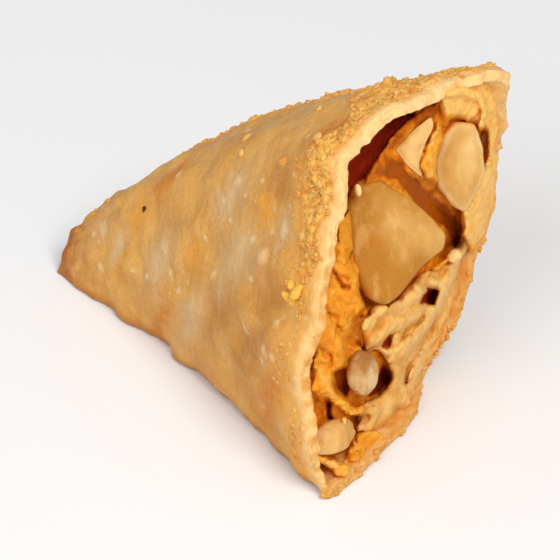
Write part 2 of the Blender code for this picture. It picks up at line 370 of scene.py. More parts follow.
def grid_normals(grid):
    """Outward unit normals of a grid of points that closes round."""
    down = np.gradient(grid, axis=0)
    around = np.roll(grid, -1, axis=1) - np.roll(grid, 1, axis=1)
    normal = np.cross(around, down)
    return normal / np.maximum(np.linalg.norm(normal, axis=2, keepdims=True), 1e-12)


# %% [markdown]
# ## Waves in the sheet and the torn edge
#
# The sheet isn't even: it ripples a little where folds lie under it, and its edge was torn, so it
# reaches further out in some places than in others. The base's lip reaches furthest. These slow
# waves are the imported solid's own, and finer tearing is added on top of them.

# %% The sheet with its slow waves
WAVE_HEIGHT = 0.35 * MM
RIM_WAVE = 0.8 * MM
LIP_REACH = 1.4 * MM
REAR_FOOT_BACK = 3.2 * MM
REAR_TOP_REACH = 0.8 * MM
FLAT_ZONE = 4 * MM


def pouch_sheet(rows, softness):
    """Rows of points on the sheet, with its waves and the slow curve of its torn edge."""
    grid = np.array([pouch_outline(u, softness) for u in rows])
    u = rows[:, None]
    v = np.linspace(0, 2 * np.pi, AROUND, endpoint=False)[None, :]
    wave = np.sin(5 * v + 6 * u) * np.sin(9 * u + 2 * v) + 0.7 * np.sin(11 * v - 13 * u)
    above_base = np.clip(grid[:, :, 2] / FLAT_ZONE, 0, 1)
    grid = grid + grid_normals(grid) * (WAVE_HEIGHT * wave * above_base * np.sqrt(u))[..., None]
    torn = np.sin(3 * v + 0.6) + 0.6 * np.sin(7 * v + 1.9) + 0.45 * np.sin(13 * v)
    along = np.gradient(grid, axis=0)
    along = along / np.linalg.norm(along, axis=2, keepdims=True)
    along[:, :, 2] *= above_base
    across_base = (np.arange(AROUND) - FRONT_POINTS) / BASE_POINTS
    lip = np.sin(np.pi * np.clip(across_base, 0, 1) ** 0.6)
    up_rear = (np.arange(AROUND) - FRONT_POINTS - BASE_POINTS) / REAR_POINTS
    back = bell(np.where(up_rear < 0, (1 - across_base) / 0.22, up_rear / 0.12), 1.0)
    top = bell(up_rear - 0.72, 0.22)
    edge = RIM_WAVE * torn + LIP_REACH * lip - REAR_FOOT_BACK * back + REAR_TOP_REACH * top
    return grid + along * (edge * np.clip((u - 0.75) / 0.25, 0, 1))[..., None]


OUTER_ROWS = 200
outer_u = np.linspace(0, 1, OUTER_ROWS)
outer_u = outer_u + 0.10 * outer_u * (1 - outer_u)
outside = pouch_sheet(outer_u, CORNER_SOFTNESS)
outside_normals = grid_normals(outside)
print("outside, rows and points round:", outside.shape[:2])

# %% [markdown]
# ## Where on the pastry a point lies
#
# Frying browns edges first, and the ridge, where several folds meet, is coarse and crumbly. To
# place such things, each point needs its distance from the ridge, the mouth, the tip and the two
# edges of the base. These are measured along the surface, row by row and column by column.

# %% Distances along the surface
def lengths_round(grid):
    """Length round each row, from the ridge to each point, and the whole way."""
    edge = np.linalg.norm(np.roll(grid, -1, axis=1) - grid, axis=2)
    return np.cumsum(edge, axis=1) - edge, edge.sum(axis=1, keepdims=True)


def lengths_along(grid):
    """Length along each column, from the tip to each point."""
    step = np.linalg.norm(np.diff(grid, axis=0), axis=2)
    return np.vstack((np.zeros(grid.shape[1]), np.cumsum(step, axis=0)))


round_length, whole_round = lengths_round(outside)
from_ridge = np.minimum(round_length, whole_round - round_length)
front_corner = round_length[:, FRONT_POINTS, None]
rear_corner = round_length[:, FRONT_POINTS + BASE_POINTS, None]
from_corner = np.minimum(np.abs(round_length - front_corner), np.abs(round_length - rear_corner))
from_tip = lengths_along(outside)
from_rim = from_tip[-1] - from_tip
on_front = (np.arange(AROUND) < FRONT_POINTS)[None, :] * np.ones_like(from_tip)
height_share = outside[:, :, 2] / SPAN[2]
print("longest way round, mm:", round(float(whole_round.max()) / MM, 1))

# %% [markdown]
# ## Blisters, grains and ripples
#
# Steam lifts small domes in a fried sheet. They are modelled as real bumps: for each blister, the
# points within its radius are pushed out by a round profile. Grains of batter on the ridge and
# near the mouth are finer noise, and everything fades out on the flat base, which the half
# stands on. A few marks have places of their own, each given by how far along the pouch it lies
# and how far down the front side.

# %% Marks with places of their own
BLISTERS = {
    "beside_mouth": (0.833, 0.492, 1.35), "below_it": (0.789, 0.563, 1.25),
    "high": (0.637, 0.374, 0.9), "near_tip": (0.153, 0.728, 0.8), "left": (0.422, 0.677, 0.7),
    "small": (0.547, 0.542, 0.55), "low": (0.752, 0.745, 0.9), "low_right": (0.847, 0.761, 0.9),
    "low_far": (0.888, 0.768, 0.7), "foot": (0.873, 0.696, 0.6), "tip_side": (0.338, 0.718, 0.6),
    "rim_high": (0.947, 0.520, 0.6), "rim_low": (0.964, 0.660, 0.5), "ridge": (0.785, 0.330, 0.8),
}
CLOUD_AND_SHEEN_SPOTS = {
    "wide": (0.686, 0.572, 6.2, 5.4), "left": (0.379, 0.638, 4.4, 5.0),
    "upper": (0.633, 0.412, 5.6, 4.6), "low": (0.502, 0.818, 5.4, 3.8),
    "tip": (0.144, 0.420, 3.0, 3.0), "rim": (0.84, 0.50, 2.6, 3.0),
    "beside_tip": (0.215, 0.560, 2.6, 3.4),
}
OCHRE = {
    "middle": (0.515, 0.584, 2.5, 5.4), "left": (0.278, 0.426, 2.5, 3.4),
    "low_left": (0.246, 0.650, 2.5, 2.6), "rim_foot": (0.937, 0.840, 1.8, 5.0),
    "beside_crumb": (0.939, 0.588, 1.8, 1.8), "high": (0.760, 0.455, 2.4, 3.0),
}
BROWNED = {
    "olive": (0.655, 0.720, 6.0, 4.6), "low": (0.780, 0.790, 6.4, 4.8),
    "right": (0.843, 0.640, 3.6, 4.6), "high": (0.782, 0.400, 4.6, 3.4),
}
WARM = {
    "foot": (0.839, 0.863, 6.0, 4.2), "shoulder": (0.368, 0.279, 3.8, 3.0),
    "foot_left": (0.360, 0.901, 4.6, 1.8), "peak": (0.917, 0.254, 4.6, 4.6),
}


def on_sheet(grid, u, down):
    """The row and column of the grid at a share of the pouch's length and of the front side."""
    return round(u * (len(grid) - 1)), round(down * FRONT_POINTS)


def soft_spots(grid, spots, seed):
    """1 in the named patches, fading over their half sizes along and down, with wavy outlines."""
    warp = 1.1 * MM * np.stack((noise(grid, 3.2 * MM, seed), noise(grid, 3.2 * MM, seed + 1)))
    warp += 0.5 * MM * np.stack((noise(grid, 1.2 * MM, seed + 2), noise(grid, 1.2 * MM, seed + 3)))
    total = np.zeros(grid.shape[:2])
    for u, down, half_along, half_down in spots.values():
        at = on_sheet(grid, u, down)
        along = (from_tip - from_tip[at] + warp[0]) / (half_along * MM)
        round_it = (round_length - round_length[at] + warp[1]) / (half_down * MM)
        total = np.maximum(total, bell(np.hypot(along, round_it), 1.0))
    return total


cloud_and_sheen_spots = soft_spots(outside, CLOUD_AND_SHEEN_SPOTS, 101)
ochre = soft_spots(outside, OCHRE, 105)
browned_spots = soft_spots(outside, BROWNED, 109)
warm_spots = soft_spots(outside, WARM, 113)

# %% Relief of the outside
GRAIN_HEIGHT = 0.70 * MM
BLISTERS_FRONT = 60
BLISTERS_HIDDEN = 120


def dome(grid, middle, radius):
    """A round bump's profile from 0 to 1 over the points of a grid."""
    share = np.linalg.norm(grid - middle, axis=2) / radius
    return np.clip(1 - share**2, 0, 1) ** 1.5


def scattered_domes(grid, count, columns, radii, seed):
    """Domes at random places in a band of columns: their height and their shape from 0 to 1."""
    draw = np.random.default_rng(seed)
    height = np.zeros(grid.shape[:2])
    shape = np.zeros(grid.shape[:2])
    for _ in range(count):
        middle = grid[int(len(grid) * draw.uniform(0.02, 0.97) ** 0.6), draw.integers(*columns)]
        radius = radii[0] + (radii[1] - radii[0]) * draw.random() ** 2
        bump = dome(grid, middle, radius)
        height = np.maximum(height, bump * radius * draw.uniform(0.20, 0.36))
        shape = np.maximum(shape, bump**0.6)
    return height, shape


front_height, front_shape = scattered_domes(
    outside, BLISTERS_FRONT, (30, FRONT_POINTS - 12), (0.25 * MM, 0.80 * MM), seed=21
)
hidden_height, hidden_shape = scattered_domes(
    outside, BLISTERS_HIDDEN, (FRONT_POINTS + 4, AROUND - 4), (0.6 * MM, 2.2 * MM), seed=22
)
for u, down, radius in BLISTERS.values():
    bump = dome(outside, outside[on_sheet(outside, u, down)], radius * MM * 1.2)
    front_height = np.maximum(front_height, bump * 0.32 * radius * MM)
    front_shape = np.maximum(front_shape, bump**0.6)
blister = np.maximum(front_shape * 0.9, hidden_shape)

ridge_width = (1.8 + 18.0 * outer_u[:, None] ** 2.5) * MM
near_ridge = bell(from_ridge, ridge_width) * (0.35 + 0.65 * on_front)
near_ridge = near_ridge * rise(outer_u[:, None], 0.22, 0.45)
near_mouth = bell(from_rim, 8.0 * MM) * rise(height_share, 0.42, 0.85) * on_front
edge_grain = bell(from_rim - 4.0 * MM, 2.2 * MM) * 0.35 * on_front
grain_zone = near_ridge + near_mouth + edge_grain + 0.40 * noise(outside, 3.5 * MM, 3)
grain_zone = np.clip(grain_zone, 0, 1) * rise(grain_zone, 0.22, 0.62)
grain_zone = grain_zone * rise(from_rim, 0.4 * MM, 2.2 * MM)
grain = 0.75 * lumps_of(outside, 1.6 * MM, 4) + 0.35 * lumps_of(outside, 0.9 * MM, 12)
grain = np.clip(grain, 0, 1)

sheet_place = np.stack((from_tip, round_length, np.zeros_like(from_tip)), axis=-1)
streaks = noise(sheet_place * (1, 0.3, 1), 1.8 * MM, 6)
relief = (
    0.32 * MM * noise(outside, 8 * MM, 1)
    + 0.30 * MM * noise(outside, 3.4 * MM, 2)
    + 0.08 * MM * noise(outside, 1.7 * MM, 9)
    + 0.05 * MM * noise(outside, 1.0 * MM, 5)
    + 0.03 * MM * streaks
    + GRAIN_HEIGHT * grain_zone * (grain - 0.25)
    + 0.35 * MM * bell(from_ridge, 3 * MM) * noise(outside, 2.4 * MM, 10)
    + front_height
    + hidden_height
)
above_base = rise(outside[:, :, 2], 0.05 * MM, 1.6 * MM)
EDGE_ROUND = 2.4 * MM
turned_in = 0.50 * MM * np.clip(1 - from_rim / EDGE_ROUND, 0, 1) ** 2
outside_points = outside + outside_normals * ((relief - turned_in) * above_base)[..., None]

for corner_column, beside in ((FRONT_POINTS, -10), (FRONT_POINTS + BASE_POINTS, 8)):
    sideways = outside_normals[:, corner_column + beside] * (1, 1, 0)
    sideways = sideways / np.linalg.norm(sideways, axis=1, keepdims=True)
    along_edge = outside[:, corner_column]
    wavy = 0.75 * noise(along_edge, 4.4 * MM, 8) + 0.35 * noise(along_edge, 1.9 * MM, 11)
    wavy = wavy * rise(from_tip[:, corner_column], 1 * MM, 5 * MM)
    reach = bell(round_length - round_length[:, corner_column, None], 2.4 * MM)
    outside_points += sideways[:, None, :] * (wavy[:, None] * reach * MM)[..., None]
print("relief of the outside, mm:", np.round((relief.min() / MM, relief.max() / MM), 2))

# %% [markdown]
# ## The torn edge and the inner wall
#
# Torn pastry shows its thickness: a pale band about 2 mm wide, bulging a little, with fine lines
# where its layers part, and ragged at the outer edge. The band joins the outside to the inner
# wall, which runs back into the pouch behind the filling.

# %% Torn band and inner wall
BAND_ROWS = 13
INNER_ROWS = 26
HOLLOW_START = 0.2
BAND_BULGE = 0.34 * MM
THIN_WALL = 1.3 * MM

inner_u = np.concatenate((np.linspace(1, 0.76, INNER_ROWS), np.linspace(0.72, HOLLOW_START, 6)))
inner_soft = pouch_sheet(inner_u[::-1], INNER_SOFTNESS)
inside = (inner_soft - grid_normals(inner_soft) * WALL)[::-1]
inside = np.array([soften_loop(row, 0.9 * MM) for row in inside])
thin_soft = pouch_sheet(inner_u[::-1], CORNER_SOFTNESS)
thin = (thin_soft - grid_normals(thin_soft) * THIN_WALL)[::-1]
near_foot = bell(np.linalg.norm(thin - thin[:, FRONT_POINTS, None], axis=2), 6 * MM)
inside = inside + (thin - inside) * near_foot[..., None]

torn_edge = outside[-1]
rim_length = round_length[-1]
foot_length = rim_length[FRONT_POINTS]
rim_front = 1 - rise(rim_length, foot_length - 3 * MM, foot_length + 3 * MM)
rim_front = rim_front + rise(rim_length, whole_round[-1] - 4 * MM, whole_round[-1])
high_up = rise(torn_edge[:, 2] / SPAN[2], 0.45, 0.85)
above_floor = rise(torn_edge[:, 2], 0.3 * MM, 2.0 * MM)

rim_out = outside_points[-1] - outside_points[-4]
rim_out = rim_out / np.linalg.norm(rim_out, axis=1, keepdims=True)
rag_height = (0.48 + (0.25 * high_up - 0.24) * rim_front) * MM
rag = rag_height * rough_noise(torn_edge, 2.1 * MM, 31)
spikes = np.maximum(noise(torn_edge, 1.1 * MM, 35), 0) ** 2 * 2.4 * MM * high_up * rim_front
inner_rag = 0.30 * noise(torn_edge, 0.9 * MM, 42) + 0.35 * noise(torn_edge, 2.2 * MM, 43)
behind_rim = np.linalg.norm(inside - inside[0], axis=2)
inside = inside + rim_out * (inner_rag * MM * bell(behind_rim, 1.3 * MM))[..., None]

t = np.linspace(0, 1, BAND_ROWS)[:, None]
band = outside_points[-1] + t[..., None] * (inside[0] - outside_points[-1])
swell = np.sqrt(1 - (2 * t - 1) ** 2)
wander = 0.12 * noise(torn_edge, 3 * MM, 36)
parted = rise(noise(torn_edge, 3.2 * MM, 44), -0.15, 0.3)
layer_lines = (bell(t - 0.36 - wander, 0.08) + 0.7 * bell(t - 0.70 + wander, 0.07)) * parted
tooth = rag + spikes * (1 - t) ** 2
crumbly = lumps_of(band, 1.7 * MM, 40) - 0.6 + 0.2 * noise(band, 0.8 * MM, 37)
push = BAND_BULGE * swell + tooth * (0.4 + 0.6 * swell) - 0.16 * MM * layer_lines * swell
push = push + crumbly * MM * (1.0 - 0.55 * rim_front) * swell
band = band + rim_out * (push * (0.6 + 0.4 * above_floor))[..., None]

fade_back = np.linspace(0, 1, 10)[:, None, None]
last_push = (tooth[0] * 0.4 * above_floor)[None, :, None]
outside_points[-10:] = outside_points[-10:] + rim_out * last_push * fade_back**3
wall_lumps = 0.35 * MM * noise(inside, 2.2 * MM, 38) + 0.16 * MM * noise(inside, 0.9 * MM, 41)
wall_lumps = wall_lumps * (1.0 - 0.6 * rim_front) * rise(behind_rim, 0.2 * MM, 1.5 * MM)
inside = inside + grid_normals(inside) * wall_lumps[..., None]

tip_hub = outside_points[0].mean(axis=0)
TIP_ROWS = 8
share = np.sin(np.linspace(0, 1, TIP_ROWS, endpoint=False)[1:] * np.pi / 2)[:, None, None]
tip_cap = tip_hub + share * (outside_points[0] - tip_hub)
tip_cap[:, :, 0] -= 0.25 * MM * (1 - share[:, :, 0] ** 2)
tip_cap[:, :, 0] -= 0.12 * MM * noise(tip_cap, 1.3 * MM, 39) * (1 - share[:, :, 0] ** 6)

# %% Join the rows into one closed pastry
shell_rows = np.concatenate((tip_cap, outside_points, band[1:], inside[1:]))
shell_rows[:, :, 2] = np.maximum(shell_rows[:, :, 2], 0.0)
row_count = len(shell_rows)
points = np.vstack((shell_rows.reshape(-1, 3), tip_hub, inside[-1].mean(axis=0)))
faces = grid_faces(row_count, AROUND)
first_ring = list(range(AROUND))
last_ring = list(range((row_count - 1) * AROUND, row_count * AROUND))
faces += fan_faces(first_ring[::-1], len(points) - 2)
faces += fan_faces(last_ring, len(points) - 1)


def shell_mask(cap, out, torn, inner):
    """One value for each point of the shell, from its four stretches of rows."""
    stretches = (len(tip_cap), len(outside_points), len(band) - 1, len(inside) - 1)
    rows = [
        np.broadcast_to(value, (count, AROUND))
        for value, count in zip((cap, out, torn, inner), stretches)
    ]
    return np.append(np.vstack(rows), (0.0, 0.0))


browned_edges = np.clip(bell(from_corner, 1.9 * MM) + bell(from_tip, 2.5 * MM), 0, 1)
band_mask = rise(t[1:], 0.0, 0.18)
stain_depth = np.clip(behind_rim[1:] / (9 * MM), 0, 1) * (1 - 0.85 * rise(inside[1:, :, 2] / SPAN[2], 0.74, 0.92))
rear_share = 1 - rim_front
shell_masks = {
    "grain": shell_mask(0, grain_zone * grain, grain_zone[-1] * grain[-1] * (1 - band_mask), 0),
    "grain_zone": shell_mask(0, grain_zone, grain_zone[-1] * (1 - band_mask), 0),
    "blister": shell_mask(0, blister, 0, 0),
    "brown": shell_mask(1, browned_edges, browned_edges[-1] * (1 - band_mask), 0),
    "tip": shell_mask(1, bell(from_tip, 4.5 * MM), 0, 0),
    "golden": shell_mask(0, bell(from_rim - 2.5 * MM, 5.0 * MM) * on_front, 0, 0),
    "torn": shell_mask(0, 0.8 * rise(-from_rim, -3.0 * MM, 0.4 * MM), 0.7 + 0.3 * band_mask, 1),
    "layer": shell_mask(0, 0, layer_lines[1:], 0),
    "inner": shell_mask(0, 0, 0, stain_depth * (0.15 + 0.85 * rim_front)),
    "hidden": shell_mask(0, 1 - on_front, 0, 0),
    "pale_cloud_and_sheen": shell_mask(0, cloud_and_sheen_spots, 0, 0),
    "ochre": shell_mask(0, ochre, 0, 0),
    "warm": shell_mask(0, warm_spots, 0, 0),
    "browned": shell_mask(0, browned_spots, 0, 0),
    "rear_edge": shell_mask(0, 0, rear_share, rear_share),
    "low": shell_mask(0, 0, 1 - high_up, 1 - high_up),
    "along": shell_mask(0, from_tip, from_tip[-1], from_tip[-1]),
    "round": shell_mask(0, round_length, round_length[-1], round_length[-1]),
}

# %% [markdown]
# ## The colour of fried pastry
#
# Fried dough is never one brown. Over a golden tan lie cool, pale clouds where the dough was
# thick, with painted sheen at their cores, and ochre ones where it was thin. Edges and the tip
# brown most, blisters stay pale, and grains go from orange in their hollows to straw on top,
# partly their own colour and partly painted shade and light. The torn band is cream, painted
# paler high up where light falls on it. All of it is procedural, so it lies on the sheet at its
# true size and bakes well.

# %% Fried pastry finish
def fried_pastry():
    f = Finish(
        "fried_pastry", Subsurface_Weight=0.08, Subsurface_Scale=0.002,
        Subsurface_Radius=(1.0, 0.45, 0.2), Specular_IOR_Level=0.15,
        Coat_Weight=0.04, Coat_Roughness=0.35,
    )
    sheet = f.node("ShaderNodeCombineXYZ", {"X": f.mask("along"), "Y": f.times(f.mask("round"), 0.35)})
    streaks = f.pattern(2.2 * MM, 3, place=sheet.outputs[0])
    mottle = f.pattern(3.2 * MM, 4, twist=0.5)
    fine = f.pattern(0.7 * MM, 3)
    wide = f.pattern(6 * MM, 3, twist=0.6)
    colour = f.mix(f.span(wide, 0.36, 0.64), paint(220, 164, 84), paint(206, 148, 74))

    def patch(mask, strength, tint, under):
        ragged = f.sum(f.mask(mask), f.times(f.sum(mottle, 0.5, "SUBTRACT"), 0.8))
        return f.mix(f.times(f.span(ragged, -0.10, 1.05), strength), under, tint)

    colour = patch("browned", 0.85, paint(180, 116, 40), colour)
    colour = patch("pale_cloud_and_sheen", 1.0, paint(208, 168, 116), colour)
    # Painted sheen: the cores of the pale clouds are lightened further, standing in for soft highlights on them.
    colour = f.mix(f.times(f.span(f.mask("pale_cloud_and_sheen"), 0.5, 1.0), 0.4), colour, paint(220, 184, 134))
    colour = patch("ochre", 1.0, paint(222, 154, 58), colour)
    colour = patch("golden", 0.90, paint(238, 174, 84), colour)
    colour = patch("warm", 1.0, paint(208, 126, 36), colour)
    colour = f.mix(f.times(f.span(streaks, 0.50, 0.72), 0.18), colour, paint(232, 194, 132))
    colour = f.mix(f.times(f.span(streaks, 0.48, 0.30), 0.18), colour, paint(186, 122, 52))
    colour = f.mix(f.times(f.span(fine, 0.54, 0.74), 0.18), colour, paint(236, 196, 128))
    colour = f.mix(f.times(f.span(fine, 0.45, 0.28), 0.20), colour, paint(178, 112, 44))
    hidden = f.times(f.mask("hidden"), f.span(f.pattern(10 * MM, 3), 0.35, 0.62))
    colour = f.mix(f.times(hidden, 0.7), colour, paint(200, 122, 48))
    # Painted shade and light: grains are orange in their hollows and straw on their tops, partly their own colour.
    grains = f.mix(f.span(f.mask("grain"), 0.10, 0.55), paint(220, 136, 34), paint(248, 188, 88))
    colour = f.mix(f.times(f.span(f.mask("grain_zone"), 0.05, 0.7), 0.92), colour, grains)
    browned = f.sum(f.mask("brown"), f.times(f.pattern(2.5 * MM, 3), 0.5))
    colour = f.mix(f.times(f.span(browned, 0.50, 1.30), 0.80), colour, paint(174, 104, 40))
    burnt = f.times(f.mask("tip"), f.span(f.pattern(2.2 * MM, 3), 0.3, 0.6))
    colour = f.mix(f.times(burnt, 0.85), colour, paint(170, 92, 36))
    colour = f.mix(f.times(f.mask("blister"), 0.70), colour, paint(232, 200, 152))
    cream = f.mix(f.span(f.pattern(1.8 * MM, 4), 0.35, 0.65), paint(244, 198, 126), paint(228, 160, 78))
    cream = f.mix(f.times(f.mask("layer"), 0.45), cream, paint(206, 138, 60))
    # Painted light: the torn band is painted paler high up, where light falls on it.
    cream = f.mix(f.span(f.mask("low"), 0.5, 0.0, 0.0, 0.6), cream, paint(252, 214, 150))
    orange = f.sum(f.mask("low"), f.times(f.sum(f.pattern(2.2 * MM, 4), 0.5, "SUBTRACT"), 2.2))
    crumbly = f.mix(f.span(orange, 0.3, 1.5), paint(236, 188, 116), paint(226, 148, 58))
    cream = f.mix(f.times(f.mask("rear_edge"), 0.9), cream, crumbly)
    edge = f.sum(f.mask("torn"), f.times(f.sum(f.pattern(1.6 * MM, 4), 0.5, "SUBTRACT"), 1.0))
    colour = f.mix(f.span(edge, 0.10, 1.0), colour, cream)
    stained = f.sum(f.mask("inner"), f.times(f.pattern(3 * MM, 3), 0.3))
    colour = f.mix(f.span(stained, 0.15, 0.6), colour, paint(190, 96, 18))
    roughness = f.span(f.pattern(1.8 * MM, 3), 0.3, 0.7, 0.40, 0.64)
    relief = f.sum(f.times(f.pattern(0.45 * MM, 4), 0.7), f.times(f.pattern(1.3 * MM, 3), 1.2))
    return f.wear(colour, roughness, relief=relief, depth=0.25 * MM)


new_piece(
    "pastry_shell", points, faces, fried_pastry(), "fried_pastry", ("crust",), **shell_masks
)

# %% [markdown]
# ## Batter crumbs
#
# Drips of batter fry into hard grains that stick to the ridge and round the mouth. Bumps in the
# sheet can't stand proud of it like that, so each grain is its own small body, squeezed, turned
# and half sunk into the sheet. One pair of big yellow crumbs sits beside the torn edge, and one
# burnt speck sits near the tip.

# %% Scatter the crumbs
CRUMBS = 2000
EDGE_CRUMBS = 260
YELLOW_CRUMBS = (
    (0.887, 0.631, 1.15, 0.8), (0.931, 0.613, 1.30, 0.8), (0.912, 0.606, 0.80, 0.9), (0.905, 0.641, 0.60, 0.8),
)
OTHER_CRUMBS = (
    (0.785, 0.330, 0.70, 0.7), (0.866, 0.409, 0.80, 0.7), (0.909, 0.501, 0.65, 0.7),
    (0.614, 0.280, 0.75, 0.6), (0.913, 0.324, 0.95, 0.6), (0.600, 0.220, 0.80, 0.6),
    (0.880, 0.280, 0.90, 0.6), (0.940, 0.380, 0.80, 0.6), (0.927, 0.120, 0.60, 1.0),
)
RIDGE_FLAKES = ((0.850, 0.087, 0.85, 1.7), (0.839, 0.065, 0.65, 1.9), (0.856, 0.107, 0.60, 1.8))
BURNT_SPECK = ((0.303, 0.396, 0.38, 0.5),)


def ball(detail):
    """Points and faces of an evenly divided ball of radius 1."""
    mesh = bmesh.new()
    bmesh.ops.create_icosphere(mesh, subdivisions=detail, radius=1.0)
    points = np.array([vert.co for vert in mesh.verts])
    faces = [[vert.index for vert in face.verts] for face in mesh.faces]
    mesh.free()
    return points, faces


def random_turn(draw):
    """A random rotation, as three rows at right angles."""
    turn = np.linalg.qr(draw.normal(size=(3, 3)))[0]
    return turn * np.sign(np.linalg.det(turn))


def crumb_shapes(places, normals, sizes, heights, seed, detail=2):
    """Many dented balls squeezed against the sheet, as one set of points and faces."""
    draw = np.random.default_rng(seed)
    ball_points, ball_faces = ball(detail)
    points, faces, tones = [], [], []
    for place, normal, size, height in zip(places, normals, sizes, heights):
        dents = 1 + 0.40 * noise(ball_points + draw.uniform(0, 20, 3), 0.9, seed)
        shape = ball_points * dents[:, None] * draw.uniform(0.6, 1.25, 3) @ random_turn(draw)
        shape = shape + np.outer(shape @ normal, normal) * (height - 1)
        start = len(points) * len(ball_points)
        points.append(shape * size + place)
        faces += [[start + i for i in face] for face in ball_faces]
        tones.append(np.full(len(ball_points), draw.random()))
    return np.vstack(points), faces, np.concatenate(tones)


def batter_finish():
    f = Finish(
        "batter_crumbs", Subsurface_Weight=0.12, Subsurface_Scale=0.0015,
        Subsurface_Radius=(1.0, 0.5, 0.15), Specular_IOR_Level=0.15,
    )
    colour = f.mix(f.span(f.mask("tone"), 0.0, 1.0), paint(212, 138, 56), paint(236, 184, 104))
    colour = f.mix(f.times(f.span(f.pattern(0.5 * MM, 3), 0.4, 0.65), 0.5), colour, paint(232, 168, 80))
    colour = f.mix(f.span(f.mask("kind"), 0.0, 1.0), colour, paint(244, 186, 78))
    colour = f.mix(f.span(f.mask("kind"), 0.0, -1.0), colour, paint(84, 44, 22))
    roughness = f.span(f.pattern(0.6 * MM, 2), 0.3, 0.7, 0.42, 0.64)
    return f.wear(colour, roughness, relief=f.pattern(0.3 * MM, 3), depth=0.12 * MM)


draw = np.random.default_rng(44)
clumps = 0.25 + rise(noise(outside, 2.6 * MM, 46), -0.1, 0.5)
edge_chance = 0.08 * bell(from_rim - 4 * MM, 2.5 * MM) * on_front
chance = (grain_zone**1.5 * clumps + edge_chance) * (on_front + 0.35)
chance = chance * rise(outside[:, :, 2], 3 * MM, 6 * MM)
picked = draw.choice(chance.size, CRUMBS, p=np.ravel(chance) / chance.sum())
rows_at, columns_at = np.unravel_index(picked, chance.shape)
crumb_sizes = (0.16 + 0.42 * draw.random(CRUMBS) ** 3) * MM
crumb_heights = draw.uniform(0.35, 0.80, CRUMBS)
kinds = np.zeros(CRUMBS)
for kind, group in ((0.9, YELLOW_CRUMBS), (0, OTHER_CRUMBS), (0, RIDGE_FLAKES), (-1, BURNT_SPECK)):
    for u, down, size, height in group:
        row, column = on_sheet(outside, u, down)
        rows_at = np.append(rows_at, row)
        columns_at = np.append(columns_at, column)
        crumb_sizes = np.append(crumb_sizes, size * MM)
        crumb_heights = np.append(crumb_heights, height)
        kinds = np.append(kinds, kind)
crumb_normals = outside_normals[rows_at, columns_at]
lift = (np.where(kinds == 0, -0.15, 0.1) * crumb_sizes * crumb_heights)[:, None]
crumb_places = outside_points[rows_at, columns_at] + crumb_normals * lift

edge_share = (1 - rim_front) * rise(-torn_edge[:, 2], -22 * MM, -2 * MM)
edge_columns = draw.choice(AROUND, EDGE_CRUMBS, p=edge_share / edge_share.sum())
edge_rows = draw.integers(2, BAND_ROWS - 2, EDGE_CRUMBS)
edge_sizes = (0.20 + 0.35 * draw.random(EDGE_CRUMBS) ** 1.5) * MM
edge_places = band[edge_rows, edge_columns] - rim_out[edge_columns] * 0.15 * MM
edge_places[:, 2] = np.maximum(edge_places[:, 2], 0.8 * edge_sizes)
crumb_places = np.vstack((crumb_places, edge_places))
crumb_normals = np.vstack((crumb_normals, rim_out[edge_columns]))
crumb_sizes = np.append(crumb_sizes, edge_sizes)
crumb_heights = np.append(crumb_heights, draw.uniform(0.5, 1.0, EDGE_CRUMBS))
kinds = np.append(kinds, np.zeros(EDGE_CRUMBS))
crumb_points, crumb_faces, crumb_tones = crumb_shapes(
    crumb_places, crumb_normals, crumb_sizes, crumb_heights, 45
)
each = len(crumb_points) // len(crumb_sizes)
new_piece(
    "batter_crumbs", crumb_points, crumb_faces, batter_finish(), "fried_pastry",
    tone=crumb_tones, kind=np.repeat(kinds, each),
)

# %% [markdown]
# ## Soft stuff as a field
#
# Mash is lumps pressed together, with holes between them. Pushing points of a grid in and out
# can't make holes or overhangs, and metaballs look like wax. So the mash is a field: a block of
# small cells, each with its distance to the surface. Lumps are added with a soft minimum, holes
# are carved with a soft maximum, and noise roughens everything. The surface is then read off
# where the field is zero, with one point in each cell that the surface passes through.

# %% Reading the surface off a field
def field_surface(field, low, step):
    """Points and quads where a field changes sign, one point in each crossed cell."""
    inner = field < 0
    cells = tuple(size - 1 for size in field.shape)
    total = np.zeros((*cells, 3), np.float32)
    count = np.zeros(cells, np.float32)
    for axis in range(3):
        others = [k for k in range(3) if k != axis]
        first = [slice(None)] * 3
        second = [slice(None)] * 3
        first[axis] = slice(0, -1)
        second[axis] = slice(1, None)
        a, b = field[tuple(first)], field[tuple(second)]
        crossed = inner[tuple(first)] != inner[tuple(second)]
        safe = np.where(crossed, a - b, 1.0)
        share = np.where(crossed, a / safe, 0.0)
        for shift in np.ndindex(2, 2):
            part = [slice(0, cells[k]) for k in range(3)]
            for other, offset in zip(others, shift):
                part[other] = slice(offset, offset + cells[other])
            hit = crossed[tuple(part)]
            count += hit
            total[..., axis] += share[tuple(part)]
            for other, offset in zip(others, shift):
                total[..., other] += hit * offset
    used = count > 0
    index = np.cumsum(used).reshape(cells) - 1
    corner = np.stack(np.nonzero(used), axis=1)
    points = low + (corner + total[used] / count[used][:, None]) * step
    quads = []
    for axis in range(3):
        one, two = [k for k in range(3) if k != axis]
        first = [slice(1, -1)] * 3
        second = [slice(1, -1)] * 3
        first[axis] = slice(0, -1)
        second[axis] = slice(1, None)
        a, b = inner[tuple(first)], inner[tuple(second)]
        place = np.stack(np.nonzero(a != b), axis=1)
        place[:, one] += 1
        place[:, two] += 1
        ring = []
        for shift_one, shift_two in ((1, 1), (0, 1), (0, 0), (1, 0)):
            cell = place.copy()
            cell[:, one] -= shift_one
            cell[:, two] -= shift_two
            ring.append(index[tuple(cell.T)])
        ring = np.stack(ring, axis=1)
        turned = a[a != b] != (axis == 1)
        quads.append(np.where(turned[:, None], ring, ring[:, ::-1]))
    return points, np.concatenate(quads)


def soft_min(a, b, blend):
    """The smaller of two distances, with the crease between them filled."""
    h = np.clip(0.5 + 0.5 * (b - a) / blend, 0, 1)
    return b + (a - b) * h - blend * h * (1 - h)


def soft_max(a, b, blend):
    """The larger of two distances, with the edge between them rounded."""
    return -soft_min(-a, -b, blend)


